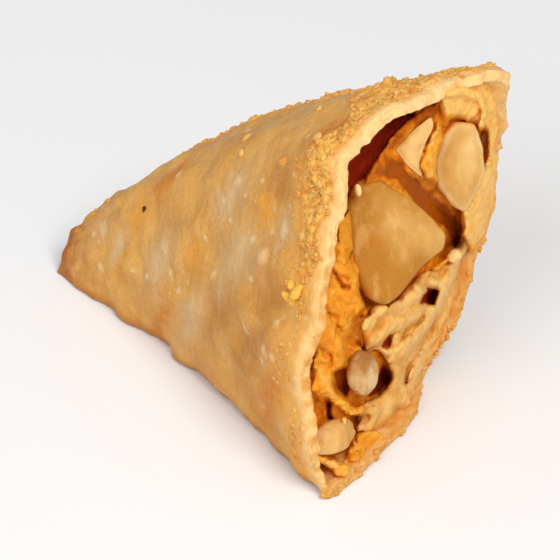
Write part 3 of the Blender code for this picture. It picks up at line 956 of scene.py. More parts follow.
def chain_distance(points, chain):
    """Distance from points to a line through a few places."""
    chain = np.array(chain, float)
    nearest = np.full(points.shape[:-1], np.inf)
    for start, end in zip(chain[:-1], chain[1:]):
        line = end - start
        share = np.clip((points - start) @ line / (line @ line), 0, 1)
        gap = np.linalg.norm(points - start - share[..., None] * line, axis=-1)
        nearest = np.minimum(nearest, gap)
    return nearest


# %% [markdown]
# ## The mouth's own map
#
# Everything in the mouth is placed in millimetres along three directions: up the torn front edge,
# across towards the front side, and out of the mouth. The inner rim gives the edge of the map,
# and a gently bowed surface through it gives the level that the filling starts from.

# %% Mouth coordinates and the filling's level
def to_mouth(points):
    return (points - FRONT_FOOT) @ np.linalg.inv(MOUTH_AXES) / MM


def from_mouth(places):
    return FRONT_FOOT + MM * (places @ MOUTH_AXES)


rim = to_mouth(inside[0])


def level_terms(up, across):
    return np.stack(
        (np.ones_like(up), up, across, up * up, up * across, across * across), axis=-1
    )


level_weights = np.linalg.lstsq(level_terms(rim[:, 0], rim[:, 1]), rim[:, 2], rcond=None)[0]
FACE_DEPTH = 2.0


def bowed_level(up, across):
    """A gently bowed surface, a little behind the rim."""
    return level_terms(up, across) @ level_weights - FACE_DEPTH


low_rim = rim[FRONT_POINTS + 2 : FRONT_POINTS + BASE_POINTS]
lip_over = low_rim[:, 2] - bowed_level(low_rim[:, 0], low_rim[:, 1]) - FACE_DEPTH
print("how far the base's lip reaches over the level, mm:", np.round(lip_over[::6], 1))


def face_level(up, across):
    """How far out the filling's face lies at a place in the mouth: near the base, the lip's."""
    gap = np.hypot(np.asarray(up)[..., None] - low_rim[:, 0], np.asarray(across)[..., None] - low_rim[:, 1])
    weight = np.exp(-((gap / 2.5) ** 2)) + 1e-9
    over = (weight * lip_over).sum(axis=-1) / weight.sum(axis=-1)
    return bowed_level(up, across) + over * bell(gap.min(axis=-1), 4.5)


STEP = 0.30
FIELD_LOW = np.array((-1.0, rim[:, 1].min() - 2.0, rim[:, 2].min() - 9.0))
FIELD_HIGH = np.array((rim[:, 0].max() + 2.0, rim[:, 1].max() + 2.0, rim[:, 2].max() + 1.5))
counts = ((FIELD_HIGH - FIELD_LOW) / STEP).astype(int)
axes = [FIELD_LOW[k] + STEP * np.arange(counts[k]) for k in range(3)]
UP, ACROSS, OUT = np.meshgrid(*axes, indexing="ij")
SPACE = np.stack((UP, ACROSS, OUT), axis=-1)
print("cells in the field:", SPACE[..., 0].size)


def pouch_wall_field():
    """Distance past the middle of the pastry's wall, so that the filling ends inside it."""
    wall = to_mouth(inner_soft - grid_normals(inner_soft) * (WALL * 0.55))
    hub_up, hub_across = rim[:, 0].mean() - 4, rim[:, 1].mean() + 1
    result = np.empty(SPACE.shape[:3])
    angle = np.arctan2(ACROSS[:, :, 0] - hub_across, UP[:, :, 0] - hub_up)
    radius = np.hypot(ACROSS[:, :, 0] - hub_across, UP[:, :, 0] - hub_up)
    for k, out in enumerate(axes[2]):
        ring = np.array([
            [np.interp(out, wall[:, i, 2], wall[:, i, 0]), np.interp(out, wall[:, i, 2], wall[:, i, 1])]
            for i in range(0, AROUND, 3)
        ])
        ring_angle = np.arctan2(ring[:, 1] - hub_across, ring[:, 0] - hub_up)
        ring_radius = np.hypot(ring[:, 1] - hub_across, ring[:, 0] - hub_up)
        order = np.argsort(ring_angle)
        edge = np.interp(angle, ring_angle[order], ring_radius[order], period=2 * np.pi)
        result[:, :, k] = (radius - edge) * 0.9
    return result


wall_field = pouch_wall_field()

# %% [markdown]
# ## Potato pieces
#
# Boiled potato cut into pieces keeps flat faces with softened edges. Each piece is a loft too: an
# outline of a few corners, rounded, then carried over the edge on a quarter circle and in to the
# middle of the face. The pieces come before the mash, because the mash is pressed round them.

# %% The potato pieces' outlines
# Each piece has a base tone, a lean of painted shade that darkens its left side, and a painted highlight along its
# rounded edge.
POTATO_PIECES = {
    "potato_middle": {
        "middle": (39.2, 6.4, 0.6), "facing": (0.83, -0.35, 0.44), "thickness": 9.0,
        "shade": 0.62, "painted_shade_lean": 0.060, "edge": 0.0, "crown": 0.6,
        "corners": (
            (-7.4, 6.4), (-4.6, 9.3), (-1.6, 9.2), (3.0, 4.2), (7.2, -1.2), (6.4, -3.6),
            (1.6, -5.4), (-1.2, -7.8), (-3.9, -9.0), (-6.4, -7.2), (-8.2, -1.2),
        ),
    },
    "potato_upper": {
        "middle": (53.2, -0.2, -0.3), "facing": (0.90, -0.30, 0.31), "thickness": 8.0,
        "shade": 0.24, "painted_shade_lean": 0.075, "edge": 0.3, "crown": 0.35,
        "corners": (
            (-4.7, 0.6), (-2.9, 3.6), (-0.4, 5.8), (3.0, 4.6), (4.0, 0.4),
            (3.1, -3.6), (1.2, -6.2), (-0.7, -8.6), (-2.7, -6.6), (-4.8, -3.0),
        ),
    },
    "potato_side": {
        "middle": (51.6, 9.9, -1.8), "facing": (0.60, -0.62, 0.50), "thickness": 6.0,
        "shade": 0.20, "painted_shade_lean": 0.060, "edge": 0.3, "crown": 0.0,
        "corners": (
            (-2.4, -0.5), (0.7, 2.7), (3.3, 4.5), (3.8, 3.0), (2.5, 0.2), (1.6, -2.6),
            (2.3, -5.0), (-0.1, -3.3),
        ),
    },
}
PIECE_SPACING = 0.22
PIECE_TAPER = 0.86
PIECE_ROUNDING = 0.085
PIECE_SOFTNESS = 0.55


def even_outline(corners, spacing, softness):
    """A closed outline through corners, evenly filled with points and then softened."""
    corners = np.array(corners, float)
    points = []
    for start, end in zip(corners, np.roll(corners, -1, axis=0)):
        count = max(2, round(np.linalg.norm(end - start) / spacing))
        points.extend(start + (end - start) * k / count for k in range(count))
    return soften_loop(np.array(points), softness)


def facing_axes(facing):
    """Rows X, Y and Z of a frame whose Z points along facing and whose Y is near up."""
    z = np.array(facing) / np.linalg.norm(facing)
    x = np.cross((0, 0, 1), z)
    x = x / np.linalg.norm(x)
    return np.array((x, np.cross(z, x), z))


def potato_rows(piece):
    """Rings of a slab in millimetres: back, side, rounded edge and face, in to its middle."""
    outline = even_outline(piece["corners"], PIECE_SPACING, PIECE_SOFTNESS)
    edge = PIECE_ROUNDING * np.ptp(outline[:, 0])
    reach = np.linalg.norm(outline, axis=1, keepdims=True)
    rows = []
    for k, depth in enumerate(np.linspace(-piece["thickness"], -edge, 14)):
        taper = PIECE_TAPER + (1 - PIECE_TAPER) * k / 13
        rows.append(np.column_stack((outline * taper, np.full(len(outline), depth))))
    for angle in np.linspace(0, np.pi / 2, 7)[1:]:
        inward = edge * (1 - math.cos(angle))
        ring = outline * (1 - inward / reach)
        rows.append(np.column_stack((ring, np.full(len(ring), edge * (math.sin(angle) - 1)))))
    face = outline * (1 - edge / reach)
    for share in np.linspace(1, 0.03, 30)[1:]:
        height = piece["crown"] * (1 - share**2)
        rows.append(np.column_stack((face * share, np.full(len(face), height))))
    return np.array(rows)


def potato_piece(name, piece, seed):
    rows = potato_rows(piece)
    uneven = 0.34 * noise(rows, 3.8, seed) + 0.08 * noise(rows, 1.3, seed + 1)
    rows = rows + grid_normals(rows) * uneven[..., None]
    count, around = rows.shape[:2]
    points = np.vstack((rows.reshape(-1, 3), rows[0].mean(axis=0), rows[-1].mean(axis=0)))
    faces = grid_faces(count, around)
    faces += fan_faces(list(range(around))[::-1], len(points) - 2)
    faces += fan_faces(list(range((count - 1) * around, count * around)), len(points) - 1)
    world = points * MM @ facing_axes(piece["facing"]) + from_mouth(np.array(piece["middle"]))
    on_side = np.append(np.repeat(np.arange(count) < 15, around), (1, 0)).astype(float)
    on_edge = bell(np.arange(count) - 18, 3.5)
    # Painted shade: each piece is darker on its left and lower side and towards its edge, added to its base tone.
    shade = piece["shade"] - piece["painted_shade_lean"] * points[:, 0] - 0.012 * points[:, 1]
    to_edge = np.append(np.repeat(np.clip(1 - (np.arange(count) - 19) / 30, 0, 1), around), (1, 0))
    shade = shade + 0.30 * piece["painted_shade_lean"] / 0.06 * to_edge**3
    return new_piece(
        name + "_piece", world, faces, boiled_potato_finish, "cooked_potato", (name,),
        side=on_side, shade=shade,
        # Painted highlight: a pale line along the rounded edge of the upper and side pieces.
        edge=piece["edge"] * np.append(np.repeat(on_edge, around), (0, 0)),
    )


# %% Boiled potato finish
def boiled_potato():
    f = Finish(
        "boiled_potato", Subsurface_Weight=0.25, Subsurface_Scale=0.003,
        Subsurface_Radius=(1.0, 0.65, 0.3), Specular_IOR_Level=0.12,
        Coat_Weight=0.03, Coat_Roughness=0.3,
    )
    cloudy = f.pattern(5.5 * MM, 3, twist=0.5)
    fibres = f.pattern(2.0 * MM, 3, stretch=(1, 1, 0.3))
    # Painted shade: the stored tone, with painted shade added, sets how dark the potato is.
    shaded = f.sum(f.mask("shade"), f.times(f.sum(cloudy, 0.5, "SUBTRACT"), 0.7))
    colour = f.mix(f.span(shaded, 0.0, 0.5), paint(242, 202, 134), paint(210, 158, 84))
    colour = f.mix(f.span(shaded, 0.5, 1.0), colour, paint(184, 122, 40))
    colour = f.mix(f.times(f.span(fibres, 0.50, 0.70), 0.35), colour, paint(234, 188, 116))
    colour = f.mix(f.times(f.span(fibres, 0.47, 0.3), 0.35), colour, paint(190, 124, 42))
    # Painted highlight: a pale rim along the pieces' rounded edges.
    colour = f.mix(f.mask("edge"), colour, paint(250, 220, 164))
    colour = f.mix(f.times(f.mask("side"), 0.8), colour, paint(208, 130, 38))
    roughness = f.span(f.pattern(1.5 * MM, 2), 0.3, 0.7, 0.38, 0.56)
    relief = f.sum(f.pattern(0.6 * MM, 3), f.pattern(1.8 * MM, 2))
    return f.wear(colour, roughness, relief=relief, depth=0.12 * MM)


boiled_potato_finish = boiled_potato()
for seed, (name, piece) in enumerate(POTATO_PIECES.items()):
    potato_piece(name, piece, 60 + 3 * seed)

# %% [markdown]
# ## Shapes that run back at a slant
#
# Pastry and mash tear at a slant, so every hole, fold and strand in the mouth leans the same way.
# That makes a flat map enough to describe them: outlines are drawn on the map, each with a height
# over the filling's level, and the finished relief is slid back along the slant. Noise bends the
# map first, so that no outline stays straight.

# %% The map and what is drawn on it
SLANT = np.array((-0.0465, 1.108))
MAP_STEP = 0.15
MAP_LOW = np.array((-6.0, -30.0))
MAP_HIGH = np.array((72.0, 42.0))
map_up, map_across = (np.arange(MAP_LOW[k], MAP_HIGH[k], MAP_STEP) for k in range(2))
MAP = np.stack((*np.meshgrid(map_up, map_across, indexing="ij"), np.zeros((520, 480))), axis=-1)
bend = np.stack((noise(MAP, 2.0, 50), noise(MAP, 2.0, 51)), axis=-1)
fine_bend = np.stack((noise(MAP, 0.8, 52), noise(MAP, 0.8, 53)), axis=-1)
BENT = MAP[..., :2] + 0.42 * bend + 0.16 * fine_bend

MASH_MOUNDS = {
    "strip": (((40.8, 18.6), (40.0, 16.5), (37.5, 14.3), (34.8, 14.0), (33.0, 13.6), (31.6, 11.6),
               (30.0, 9.4), (28.0, 8.1), (26.1, 8.3), (24.2, 8.9), (22.4, 8.3), (20.6, 6.6),
               (19.4, 7.0), (17.7, 8.1), (15.7, 8.2), (13.4, 8.6), (14.0, 11.6), (18.5, 13.7),
               (23.5, 16.0), (28.6, 17.7), (33.8, 18.9), (38.6, 19.6)), 0.2, 0.9, 0.35),
    "left_low": (((14.5, 7.6), (13.5, 3.7), (10.8, 1.8), (10.2, 4.3), (11.5, 7.1)), -0.5, 0.5, -0.1),
    "right_low": (((10.4, -1.0), (11.8, -2.3), (12.9, -6.8), (10.3, -7.6), (7.8, -5.6),
                   (6.4, -2.4), (7.8, -0.8)), 0.0, 0.7, 0.5),
    "gold_low": (((5.7, 1.0), (6.8, -0.5), (7.6, -3.0), (5.4, -3.6), (3.8, -1.9), (4.6, 0.8)),
                 0.0, 0.7, 0.8),
    "ledge": (((59.9, 10.6), (60.7, 8.1), (59.1, 8.5), (57.0, 9.9), (54.3, 12.5), (50.2, 14.8),
               (47.9, 11.4), (46.1, 13.7), (44.4, 16.5), (42.6, 18.0), (46.1, 18.3), (49.6, 17.0),
               (52.9, 15.1), (56.6, 13.0)), -1.6, 0.5, -0.45),
    "golden_hollow": (((60.7, 10.7), (61.9, 8.8), (61.7, 6.6), (60.1, 7.3), (58.5, 7.7),
                       (58.9, 10.1)), -0.6, 0.3, 0.25),
    "stain": (((56.3, 8.6), (54.6, 5.9), (51.0, 5.4), (48.1, 2.8), (48.3, 5.3), (49.7, 8.2),
               (52.7, 8.3)), 0.0, 0.3, 0.7),
    # The channel between the potato pieces gets the darkest tone, as painted shade.
    "between": (((49.1, 14.4), (48.0, 10.0), (46.8, 4.0), (45.0, -4.0), (42.4, -4.0),
                 (43.4, -0.6), (44.6, 5.7), (46.1, 10.4), (46.4, 14.4)), -2.0, 0.0, -1.2),
    "under_piece": (((39.3, -4.2), (41.2, -4.9), (40.4, -6.2), (38.2, -5.3), (36.3, -2.9),
                     (36.5, -1.5)), 0.0, 0.4, 0.60),
    "along_base": (((3.0, -1.4), (5.4, -2.3), (7.9, -4.1), (10.3, -5.4), (12.5, -6.8), (14.8, -7.9),
                    (20.0, -10.5), (24.0, -16.5), (19.0, -16.0), (14.0, -14.0), (9.0, -11.0),
                    (4.0, -7.0), (1.6, -4.0)), 0.8, 0.5, 1.0),
    "oily_top": (((60.6, 10.2), (62.9, 8.1), (65.0, 5.0), (65.7, 1.0), (64.5, -2.3), (60.2, -5.3),
                  (55.8, -6.9), (55.1, -4.7), (57.2, -3.0), (58.8, -0.8), (59.1, 1.2), (58.2, 4.5),
                  (57.3, 7.0), (58.7, 9.1)), 0.5, 0.3, 1.25),
    "right_strip": (((56.1, -4.1), (55.8, -6.9), (50.0, -9.8), (44.6, -10.8), (41.2, -9.2),
                     (43.0, -5.6), (46.5, -4.2), (50.0, -4.4), (53.0, -4.4)), 2.1, 0.4, 1.1),
}
MASH_STRANDS = {
    "loop": (((17.5, 11.3), (15.2, 9.2), (14.5, 6.8), (13.7, 4.4), (13.7, 2.3), (14.4, 0.0)),
             0.85, 1.3, 0.9),
    "flap": (((4.9, 6.2), (5.4, 2.9), (5.8, 1.0), (5.0, -1.3)), 0.9, 1.1, 1.0),
    "flake": (((11.9, 3.0), (11.2, 2.4), (10.4, 2.6)), 0.45, 1.2, 1.3),
    "oily_fold": (((60.4, 8.4), (62.0, 5.6), (62.4, 2.6), (61.0, 0.2), (58.8, -0.4)), 0.7, 2.0, 1.4),
}
DOUGH = (
    (44.3, -5.7), (41.9, -5.3), (39.4, -4.6), (37.2, -2.8), (35.5, -0.8), (32.6, 0.6),
    (30.4, 2.3), (29.2, 3.7), (28.7, 5.6), (27.0, 6.7), (25.2, 6.3), (23.4, 5.5), (22.7, 3.9),
    (23.3, 1.6), (22.2, -1.0), (20.4, -2.9), (18.4, -3.7), (16.6, -2.1), (15.8, -0.1),
    (14.3, 0.4), (13.1, -0.7), (11.4, -0.4), (11.4, -3.0), (11.6, -7.1), (12.0, -10.5),
    (13.0, -14.0), (17.0, -16.0), (22.0, -17.0), (30.0, -17.5), (38.0, -16.5), (43.0, -14.0),
    (44.5, -10.0),
)
DOUGH_MOUNDS = {
    "gold": (((22.8, 7.0), (25.6, 6.2), (26.4, 2.4), (24.6, 1.8), (23.4, 3.0)), 0.0, 0.5, 0.05),
    "greyish": (((35.7, -2.4), (37.8, -4.2), (37.0, -6.4), (35.2, -6.1), (34.0, -3.8)),
                0.0, 0.5, 0.45),
    "outer": (((41.2, -9.4), (42.0, -15.0), (35.6, -17.6), (29.9, -18.0), (22.0, -17.5),
               (14.0, -15.5), (11.5, -12.0), (12.2, -8.6), (13.6, -6.8), (17.9, -7.4),
               (21.1, -7.0), (24.9, -6.6), (25.7, -8.3), (29.1, -9.0), (33.7, -9.3)),
              0.5, 0.6, 0.60),
}
DOUGH_STRANDS = {
    "fold_high": (((25.6, 6.6), (28.2, 5.3), (29.7, 2.8), (31.1, -0.3), (32.9, -1.8)),
                  2.0, 1.0, 0.95),
    "fold_low": (((24.4, 3.4), (26.8, 1.1), (29.0, -1.9), (31.2, -3.4)), 1.5, 1.0, 0.75),
    "inner": (((43.4, -7.2), (41.8, -7.1), (38.2, -6.8), (34.4, -6.9), (31.0, -6.4), (29.1, -5.7),
               (26.5, -4.2), (23.6, -2.2), (21.9, -1.4)), 1.5, 0.95, 0.85),
    "outer": (((36.5, -9.4), (33.9, -9.9), (30.1, -9.8), (26.8, -9.0), (24.0, -8.2), (21.5, -7.4),
               (18.2, -6.6), (15.4, -5.6)), 1.7, 0.85, 0.8),
    "beside_hole": (((21.0, -4.2), (18.6, -4.8), (16.4, -3.4), (14.3, -2.8), (11.9, -3.4)),
                    1.4, 0.8, 0.6),
    "ring": (((21.4, 3.6), (22.6, 2.6), (23.2, 1.2), (22.9, -0.3)), 0.7, 0.9, 1.2),
    "flake": (((33.9, -0.6), (33.3, -2.0)), 0.6, 1.2, 1.4),
    "above_hole": (((35.2, -3.2), (35.4, -5.4), (34.9, -7.4)), 0.8, 0.9, 0.9),
}
# Grooves: a chain of places, a radius, a depth and a weight of painted shade. Holes: an outline, a depth and a
# weight of painted shade, how much darker their colour is painted.
GROOVES = {
    "between_layers": (((30.7, -8.3), (29.1, -7.8), (27.2, -7.0), (25.4, -6.7), (23.2, -5.8),
                        (21.1, -5.4), (19.0, -5.8)), 0.9, 0.15, 0.50),
    "groove_end": (((22.2, -6.0), (21.2, -6.1), (20.6, -6.4)), 0.5, 0.7, 0.90),
    "under_fold": (((23.6, 1.1), (25.4, -1.4), (27.9, -3.4), (29.8, -4.6)), 0.6, 0.4, 0.40),
    "strip_gap": (((36.6, 15.2), (34.8, 14.0), (33.2, 14.2)), 0.55, 1.2, 0.60),
    "notch": (((31.2, 17.4), (30.3, 15.9), (29.7, 13.6), (29.6, 11.9)), 0.5, 1.3, 0.60),
    "strip_fold": (((26.5, 15.5), (25.2, 12.8), (23.8, 10.8), (23.0, 8.6)), 0.6, 0.9, 0.20),
    "strip_low": (((20.5, 13.2), (19.6, 10.6), (18.4, 9.4)), 0.6, 0.9, 0.25),
}
HOLES = {
    "beside_band": (((34.2, -3.0), (34.4, -6.0), (31.8, -6.4), (31.5, -2.8)), 1.5, 1.0),
    "slit": (((23.6, 1.8), (24.8, 1.6), (26.4, -0.6), (24.4, -0.3)), 1.7, 1.0),
    "triangle": (((30.5, 10.4), (29.1, 5.8), (27.7, 7.7)), 2.6, 0.55),
    "amber": (((22.4, 7.4), (23.2, 8.6), (26.3, 8.4), (27.6, 7.7), (26.7, 6.8), (24.8, 6.5),
               (23.2, 5.4), (22.8, 3.5)), 2.6, 0.25),
    "onion_right": (((21.6, -0.8), (20.8, -2.6), (19.4, -3.5), (17.3, -2.9), (16.3, -0.6),
                     (16.6, 1.0), (19.1, 0.2), (20.4, -0.2)), 2.8, 1.0),
    "onion_left": (((17.6, 8.5), (19.0, 6.9), (19.2, 5.0), (17.2, 3.9), (15.1, 3.9), (15.6, 6.9)),
                   3.0, 0.55),
    "onion_bed": (((22.0, 5.6), (22.2, 2.0), (21.0, -0.8), (18.4, -0.6), (16.4, 0.8),
                   (15.8, 3.6), (18.0, 5.8)), 1.0, 0.20),
    "slot_low": (((14.3, 8.4), (13.5, 6.8), (11.1, 4.6), (10.9, 5.6)), 2.6, 0.55),
    "brown": (((12.5, 2.9), (13.8, 0.1), (11.3, -0.1), (9.8, -2.2), (10.4, 0.1)), 2.4, 0.30),
    "under_lump": (((7.0, 2.8), (7.3, 1.5), (6.8, -1.1), (5.8, -0.4)), 2.4, 0.45),
    "tip": (((4.9, 4.9), (5.0, 2.2), (4.0, 0.9), (2.2, -1.0), (2.1, 1.1), (2.6, 2.9)), 2.8, 0.45),
    "top_slot": (((56.2, 13.2), (57.6, 17.8), (52.8, 21.0), (48.4, 22.6), (44.4, 23.8),
                  (41.0, 24.0), (36.5, 22.5), (37.8, 19.6), (39.5, 18.1), (42.5, 17.9),
                  (45.3, 17.8), (49.2, 16.7), (52.8, 15.0)), 4.6, 1.0),
    "slot_end": (((61.6, 10.2), (62.4, 13.6), (57.6, 17.8), (55.8, 13.4), (59.6, 9.8)), 2.6, 0.35),
}


def outline_distance(points, corners):
    """Distance to a closed outline, negative inside it."""
    corners = np.array(corners)
    gap = chain_distance(points, np.vstack((corners, corners[:1])))
    inside_it = np.zeros(points.shape[:-1], bool)
    for (up_0, across_0), (up_1, across_1) in zip(corners, np.roll(corners, -1, axis=0)):
        crosses = (points[..., 1] < across_0) != (points[..., 1] < across_1)
        share = (points[..., 1] - across_0) / (across_1 - across_0 + 1e-9)
        inside_it ^= crosses & (points[..., 0] < up_0 + share * (up_1 - up_0))
    return np.where(inside_it, -gap, gap)


def draw_relief(height, tone, mounds, strands):
    """Lay pillowy mounds and round strands over a height map, and note how pale each is."""
    for corners, level, bulge, pale in mounds.values():
        gap = outline_distance(BENT, corners)
        inside_it = rise(-gap, -0.6, 0.6)
        pillow = level + bulge * np.sqrt(np.clip(-gap / 1.8, 0, 1))
        height = height + (pillow - height) * inside_it
        tone = tone + (pale - tone) * inside_it
    for chain, radius, level, pale in strands.values():
        share = np.clip(chain_distance(BENT, chain) / radius, 0, 1)
        strand = level - 0.8 * radius * (1 - np.sqrt(1 - share**2))
        height = np.where(share < 1, soft_max(height, strand, 0.4), height)
        tone = tone + (pale - tone) * (1 - share**2)
    return height, tone


def cut_holes(height):
    """Sink the grooves and holes into a height map, and note how much painted shade each place in them gets."""
    painted_shade_map = np.zeros(height.shape)
    for chain, radius, depth, painted_shade_weight in GROOVES.values():
        sunk = 1 - np.clip(chain_distance(BENT, chain) / radius, 0, 1) ** 2
        height = height - depth * sunk
        painted_shade_map = np.maximum(painted_shade_map, painted_shade_weight * sunk)
    for corners, depth, painted_shade_weight in HOLES.values():
        inside_it = rise(-outline_distance(BENT, corners), -0.30, 0.40)
        height = height + (np.minimum(height, -depth) - height) * inside_it
        painted_shade_map = np.maximum(painted_shade_map, painted_shade_weight * inside_it)
    return height, painted_shade_map


def on_map(values, places):
    """Values drawn on the flat map, read at places in the mouth."""
    spot = (places[..., :2] - places[..., 2:] * SLANT - MAP_LOW) / MAP_STEP
    cell = np.clip(spot.astype(int), 0, np.array(values.shape) - 2)
    a, b = np.moveaxis(spot - cell, -1, 0)
    i, j = np.moveaxis(cell, -1, 0)
    near = values[i, j] * (1 - b) + values[i, j + 1] * b
    return near * (1 - a) + a * (values[i + 1, j] * (1 - b) + values[i + 1, j + 1] * b)


def on_face(up, across, above=0.0):
    """The place where a spot on the map meets the filling's level, or a height over it."""
    out = 0.0
    for _ in range(20):
        place = np.array((up + SLANT[0] * out, across + SLANT[1] * out))
        out = float(face_level(*place)) + above
    return np.array((*place, out))

# %% [markdown]
# ## The mash
#
# Spiced mash is orange with turmeric and chilli. A lumpy strip of it follows the front sheet, a
# deep slot parts it from that sheet higher up, and a ledge and a stain of it hold the potato
# pieces. It's pressed close round the pieces, so the room in front of each piece is cut away.

# %% The mash as a field
def potato_room(piece, grow):
    """Distance to the space in front of a potato piece's face, which mash stays out of."""
    world = from_mouth(SPACE.reshape(-1, 3)).reshape(SPACE.shape)
    local = (world - from_mouth(np.array(piece["middle"]))) @ facing_axes(piece["facing"]).T / MM
    outline = even_outline(piece["corners"], 0.5, PIECE_SOFTNESS)
    angle = np.arctan2(outline[:, 1], outline[:, 0])
    order = np.argsort(angle)
    reach = np.linalg.norm(outline, axis=1)
    edge = np.interp(
        np.arctan2(local[..., 1], local[..., 0]), angle[order], reach[order], period=2 * np.pi
    )
    flare = 0.8 * np.clip(local[..., 2], 0, 4) * rise(-local[..., 0], -1.5, 1.0)
    sideways = (np.linalg.norm(local[..., :2], axis=-1) - edge - grow - flare) * 0.8
    return np.maximum(sideways, -1.0 - local[..., 2])


flat = SPACE[:, :, 0, :2]
LEVEL = face_level(flat[..., 0], flat[..., 1])[:, :, None]
rooms = np.minimum.reduce([potato_room(piece, -0.40) for piece in POTATO_PIECES.values()])
dough_gap = outline_distance(BENT, DOUGH)

mash_base = -1.5 + 0.5 * noise(MAP, 5.0, 54) - 1.6 * rise(-dough_gap, -0.5, 0.8)
mash_open, mash_tone = draw_relief(
    mash_base, 0.15 + 0.3 * noise(MAP, 4.0, 55), MASH_MOUNDS, MASH_STRANDS
)
mash_height, mash_painted_shade = cut_holes(mash_open)


def mash_field():
    field = (OUT - LEVEL - on_map(mash_height, SPACE)) * 0.8
    near = np.abs(field) < 2.0
    lumpy = 0.75 * lumps_of(SPACE[near], 2.6, 56) + 0.75 * lumps_of(SPACE[near], 1.5, 66)
    tone = on_map(mash_tone, SPACE[near])
    rough = 0.22 + 0.98 * rise(tone, -0.1, 0.4) - 0.75 * rise(tone, 0.9, 1.1)
    rough = rough * (1 - 0.75 * rise(on_map(mash_painted_shade, SPACE[near]), 0.1, 0.4))
    field[near] -= rough * (lumpy - 0.5)
    field[near] += 0.08 * noise(SPACE[near], 0.7, 58)
    field = soft_max(field, -rooms, 0.4)
    field = np.maximum(field, wall_field)
    return np.maximum(field, FIELD_LOW[2] + 1.0 - OUT)


mash_places, mash_quads = field_surface(mash_field(), FIELD_LOW, STEP)
print("mash surface points:", len(mash_places))

# %% The rest of the filling, back to the tip
core_rows = pouch_sheet(np.linspace(0.30, 0.80, 16), INNER_SOFTNESS)[:, ::4]
core_normals = grid_normals(core_rows)
core_rows = core_rows - core_normals * (WALL * 0.8)
core_around = core_rows.shape[1]
core_points = np.vstack(
    (core_rows.reshape(-1, 3), core_rows[0].mean(axis=0), core_rows[-1].mean(axis=0))
)
core_faces = grid_faces(len(core_rows), core_around)
core_faces += fan_faces(list(range(core_around))[::-1], len(core_points) - 2)
core_last = (len(core_rows) - 1) * core_around
core_faces += fan_faces(list(range(core_last, core_last + core_around)), len(core_points) - 1)
if not faces_point_out(core_points, core_faces):
    core_faces = [face[::-1] for face in core_faces]

# %% Mash finish and piece
def moist_mash():
    f = Finish(
        "moist_mash", Subsurface_Weight=0.20, Subsurface_Scale=0.003,
        Subsurface_Radius=(1.0, 0.5, 0.12), Specular_IOR_Level=0.06,
        Coat_Weight=0.03, Coat_Roughness=0.25,
    )
    cloudy = f.times(f.sum(f.pattern(2.0 * MM, 4, twist=0.5), 0.5, "SUBTRACT"), 1.7)
    lumps = f.sum(f.mask("tone"), cloudy)
    fine = f.pattern(0.8 * MM, 3)
    colour = f.mix(f.span(lumps, -0.7, 0.0), paint(164, 78, 8), paint(216, 122, 16))
    colour = f.mix(f.span(lumps, -0.1, 0.6), colour, paint(240, 158, 42))
    colour = f.mix(f.span(lumps, 0.5, 1.3), colour, paint(246, 192, 104))
    paler = f.times(f.span(fine, 0.5, 0.72), f.span(lumps, -0.1, 0.5, 0.0, 0.35))
    colour = f.mix(paler, colour, paint(248, 190, 98))
    colour = f.mix(f.times(f.span(fine, 0.45, 0.3), 0.30), colour, paint(196, 100, 10))
    # Painted shade: the mash is darker the deeper it lies below the filling's level.
    colour = f.mix(f.span(f.mask("deep"), 0.0, 1.0), colour, paint(166, 70, 6))
    # Painted shade: orange-brown, then maroon, in holes and grooves.
    colour = f.mix(f.span(f.mask("hole"), 0.0, 0.45), colour, paint(184, 86, 8))
    colour = f.mix(f.span(f.mask("hole"), 0.4, 1.0), colour, paint(136, 34, 12))
    roughness = f.span(f.pattern(1.2 * MM, 2), 0.3, 0.7, 0.34, 0.56)
    relief = f.sum(f.times(f.pattern(0.35 * MM, 3), 0.6), f.pattern(1.0 * MM, 3))
    return f.wear(colour, roughness, relief=relief, depth=0.16 * MM)


def below_level(places):
    return face_level(places[:, 0], places[:, 1]) - places[:, 2]


def hole_mask(places, open_height, painted_shade_map):
    """Painted shade: dark where a place lies in a hole and well under the surface round it."""
    sunk = below_level(places) + on_map(open_height, places)
    return rise(sunk, 0.3, 1.7) * on_map(painted_shade_map, places)


mash_world = from_mouth(mash_places)
if not faces_point_out(mash_world, mash_quads.tolist()):
    mash_quads = mash_quads[:, ::-1]
core_start = len(mash_world)
filling_faces = mash_quads.tolist() + [[core_start + i for i in face] for face in core_faces]
unseen = np.ones(len(core_points))
new_piece(
    "mash_filling", np.vstack((mash_world, core_points)), filling_faces, moist_mash(),
    "mashed_potato", ("filling",),
    tone=np.append(on_map(mash_tone, mash_places), 0.2 * unseen),
    # Painted shade: how deep each point lies, and how far into a hole.
    deep=np.append(rise(below_level(mash_places), 1.8, 5.0), unseen),
    hole=np.append(hole_mask(mash_places, mash_open, mash_painted_shade), 0 * unseen),
)

# %% [markdown]
# ## Inner layers of dough
#
# The pouch was folded from one long strip, so behind the rear and base sheet lie more layers. Torn
# across, they show as pale bands and folds with dark gaps and holes between them. They are drawn
# on the same map as the mash, higher than it, and end at an outline of their own.

# %% Torn inner layers
dough_base = 0.15 + 0.25 * noise(MAP, 3.0, 59)
dough_open, dough_tone = draw_relief(
    dough_base, 0.55 + 0.35 * noise(MAP, 3.0, 60), DOUGH_MOUNDS, DOUGH_STRANDS
)
dough_height, dough_painted_shade = cut_holes(dough_open)


def dough_field():
    top = (OUT - LEVEL - on_map(dough_height, SPACE)) * 0.8
    field = soft_max(on_map(dough_gap, SPACE) * 0.7, top, 1.5)
    near = np.abs(field) < 1.6
    along_folds = SPACE[near] * (0.55, 1.0, 1.0)
    field[near] -= 0.50 * (np.abs(noise(along_folds, 2.0, 61)) - 0.3)
    field[near] += 0.20 * noise(SPACE[near], 1.6, 62) + 0.07 * noise(SPACE[near], 0.7, 63)
    field = soft_max(field, -rooms, 0.5)
    field = np.maximum(field, wall_field)
    return np.maximum(field, LEVEL - 6.5 - OUT)


dough_places, dough_quads = field_surface(dough_field(), FIELD_LOW, STEP)
print("dough surface points:", len(dough_places))

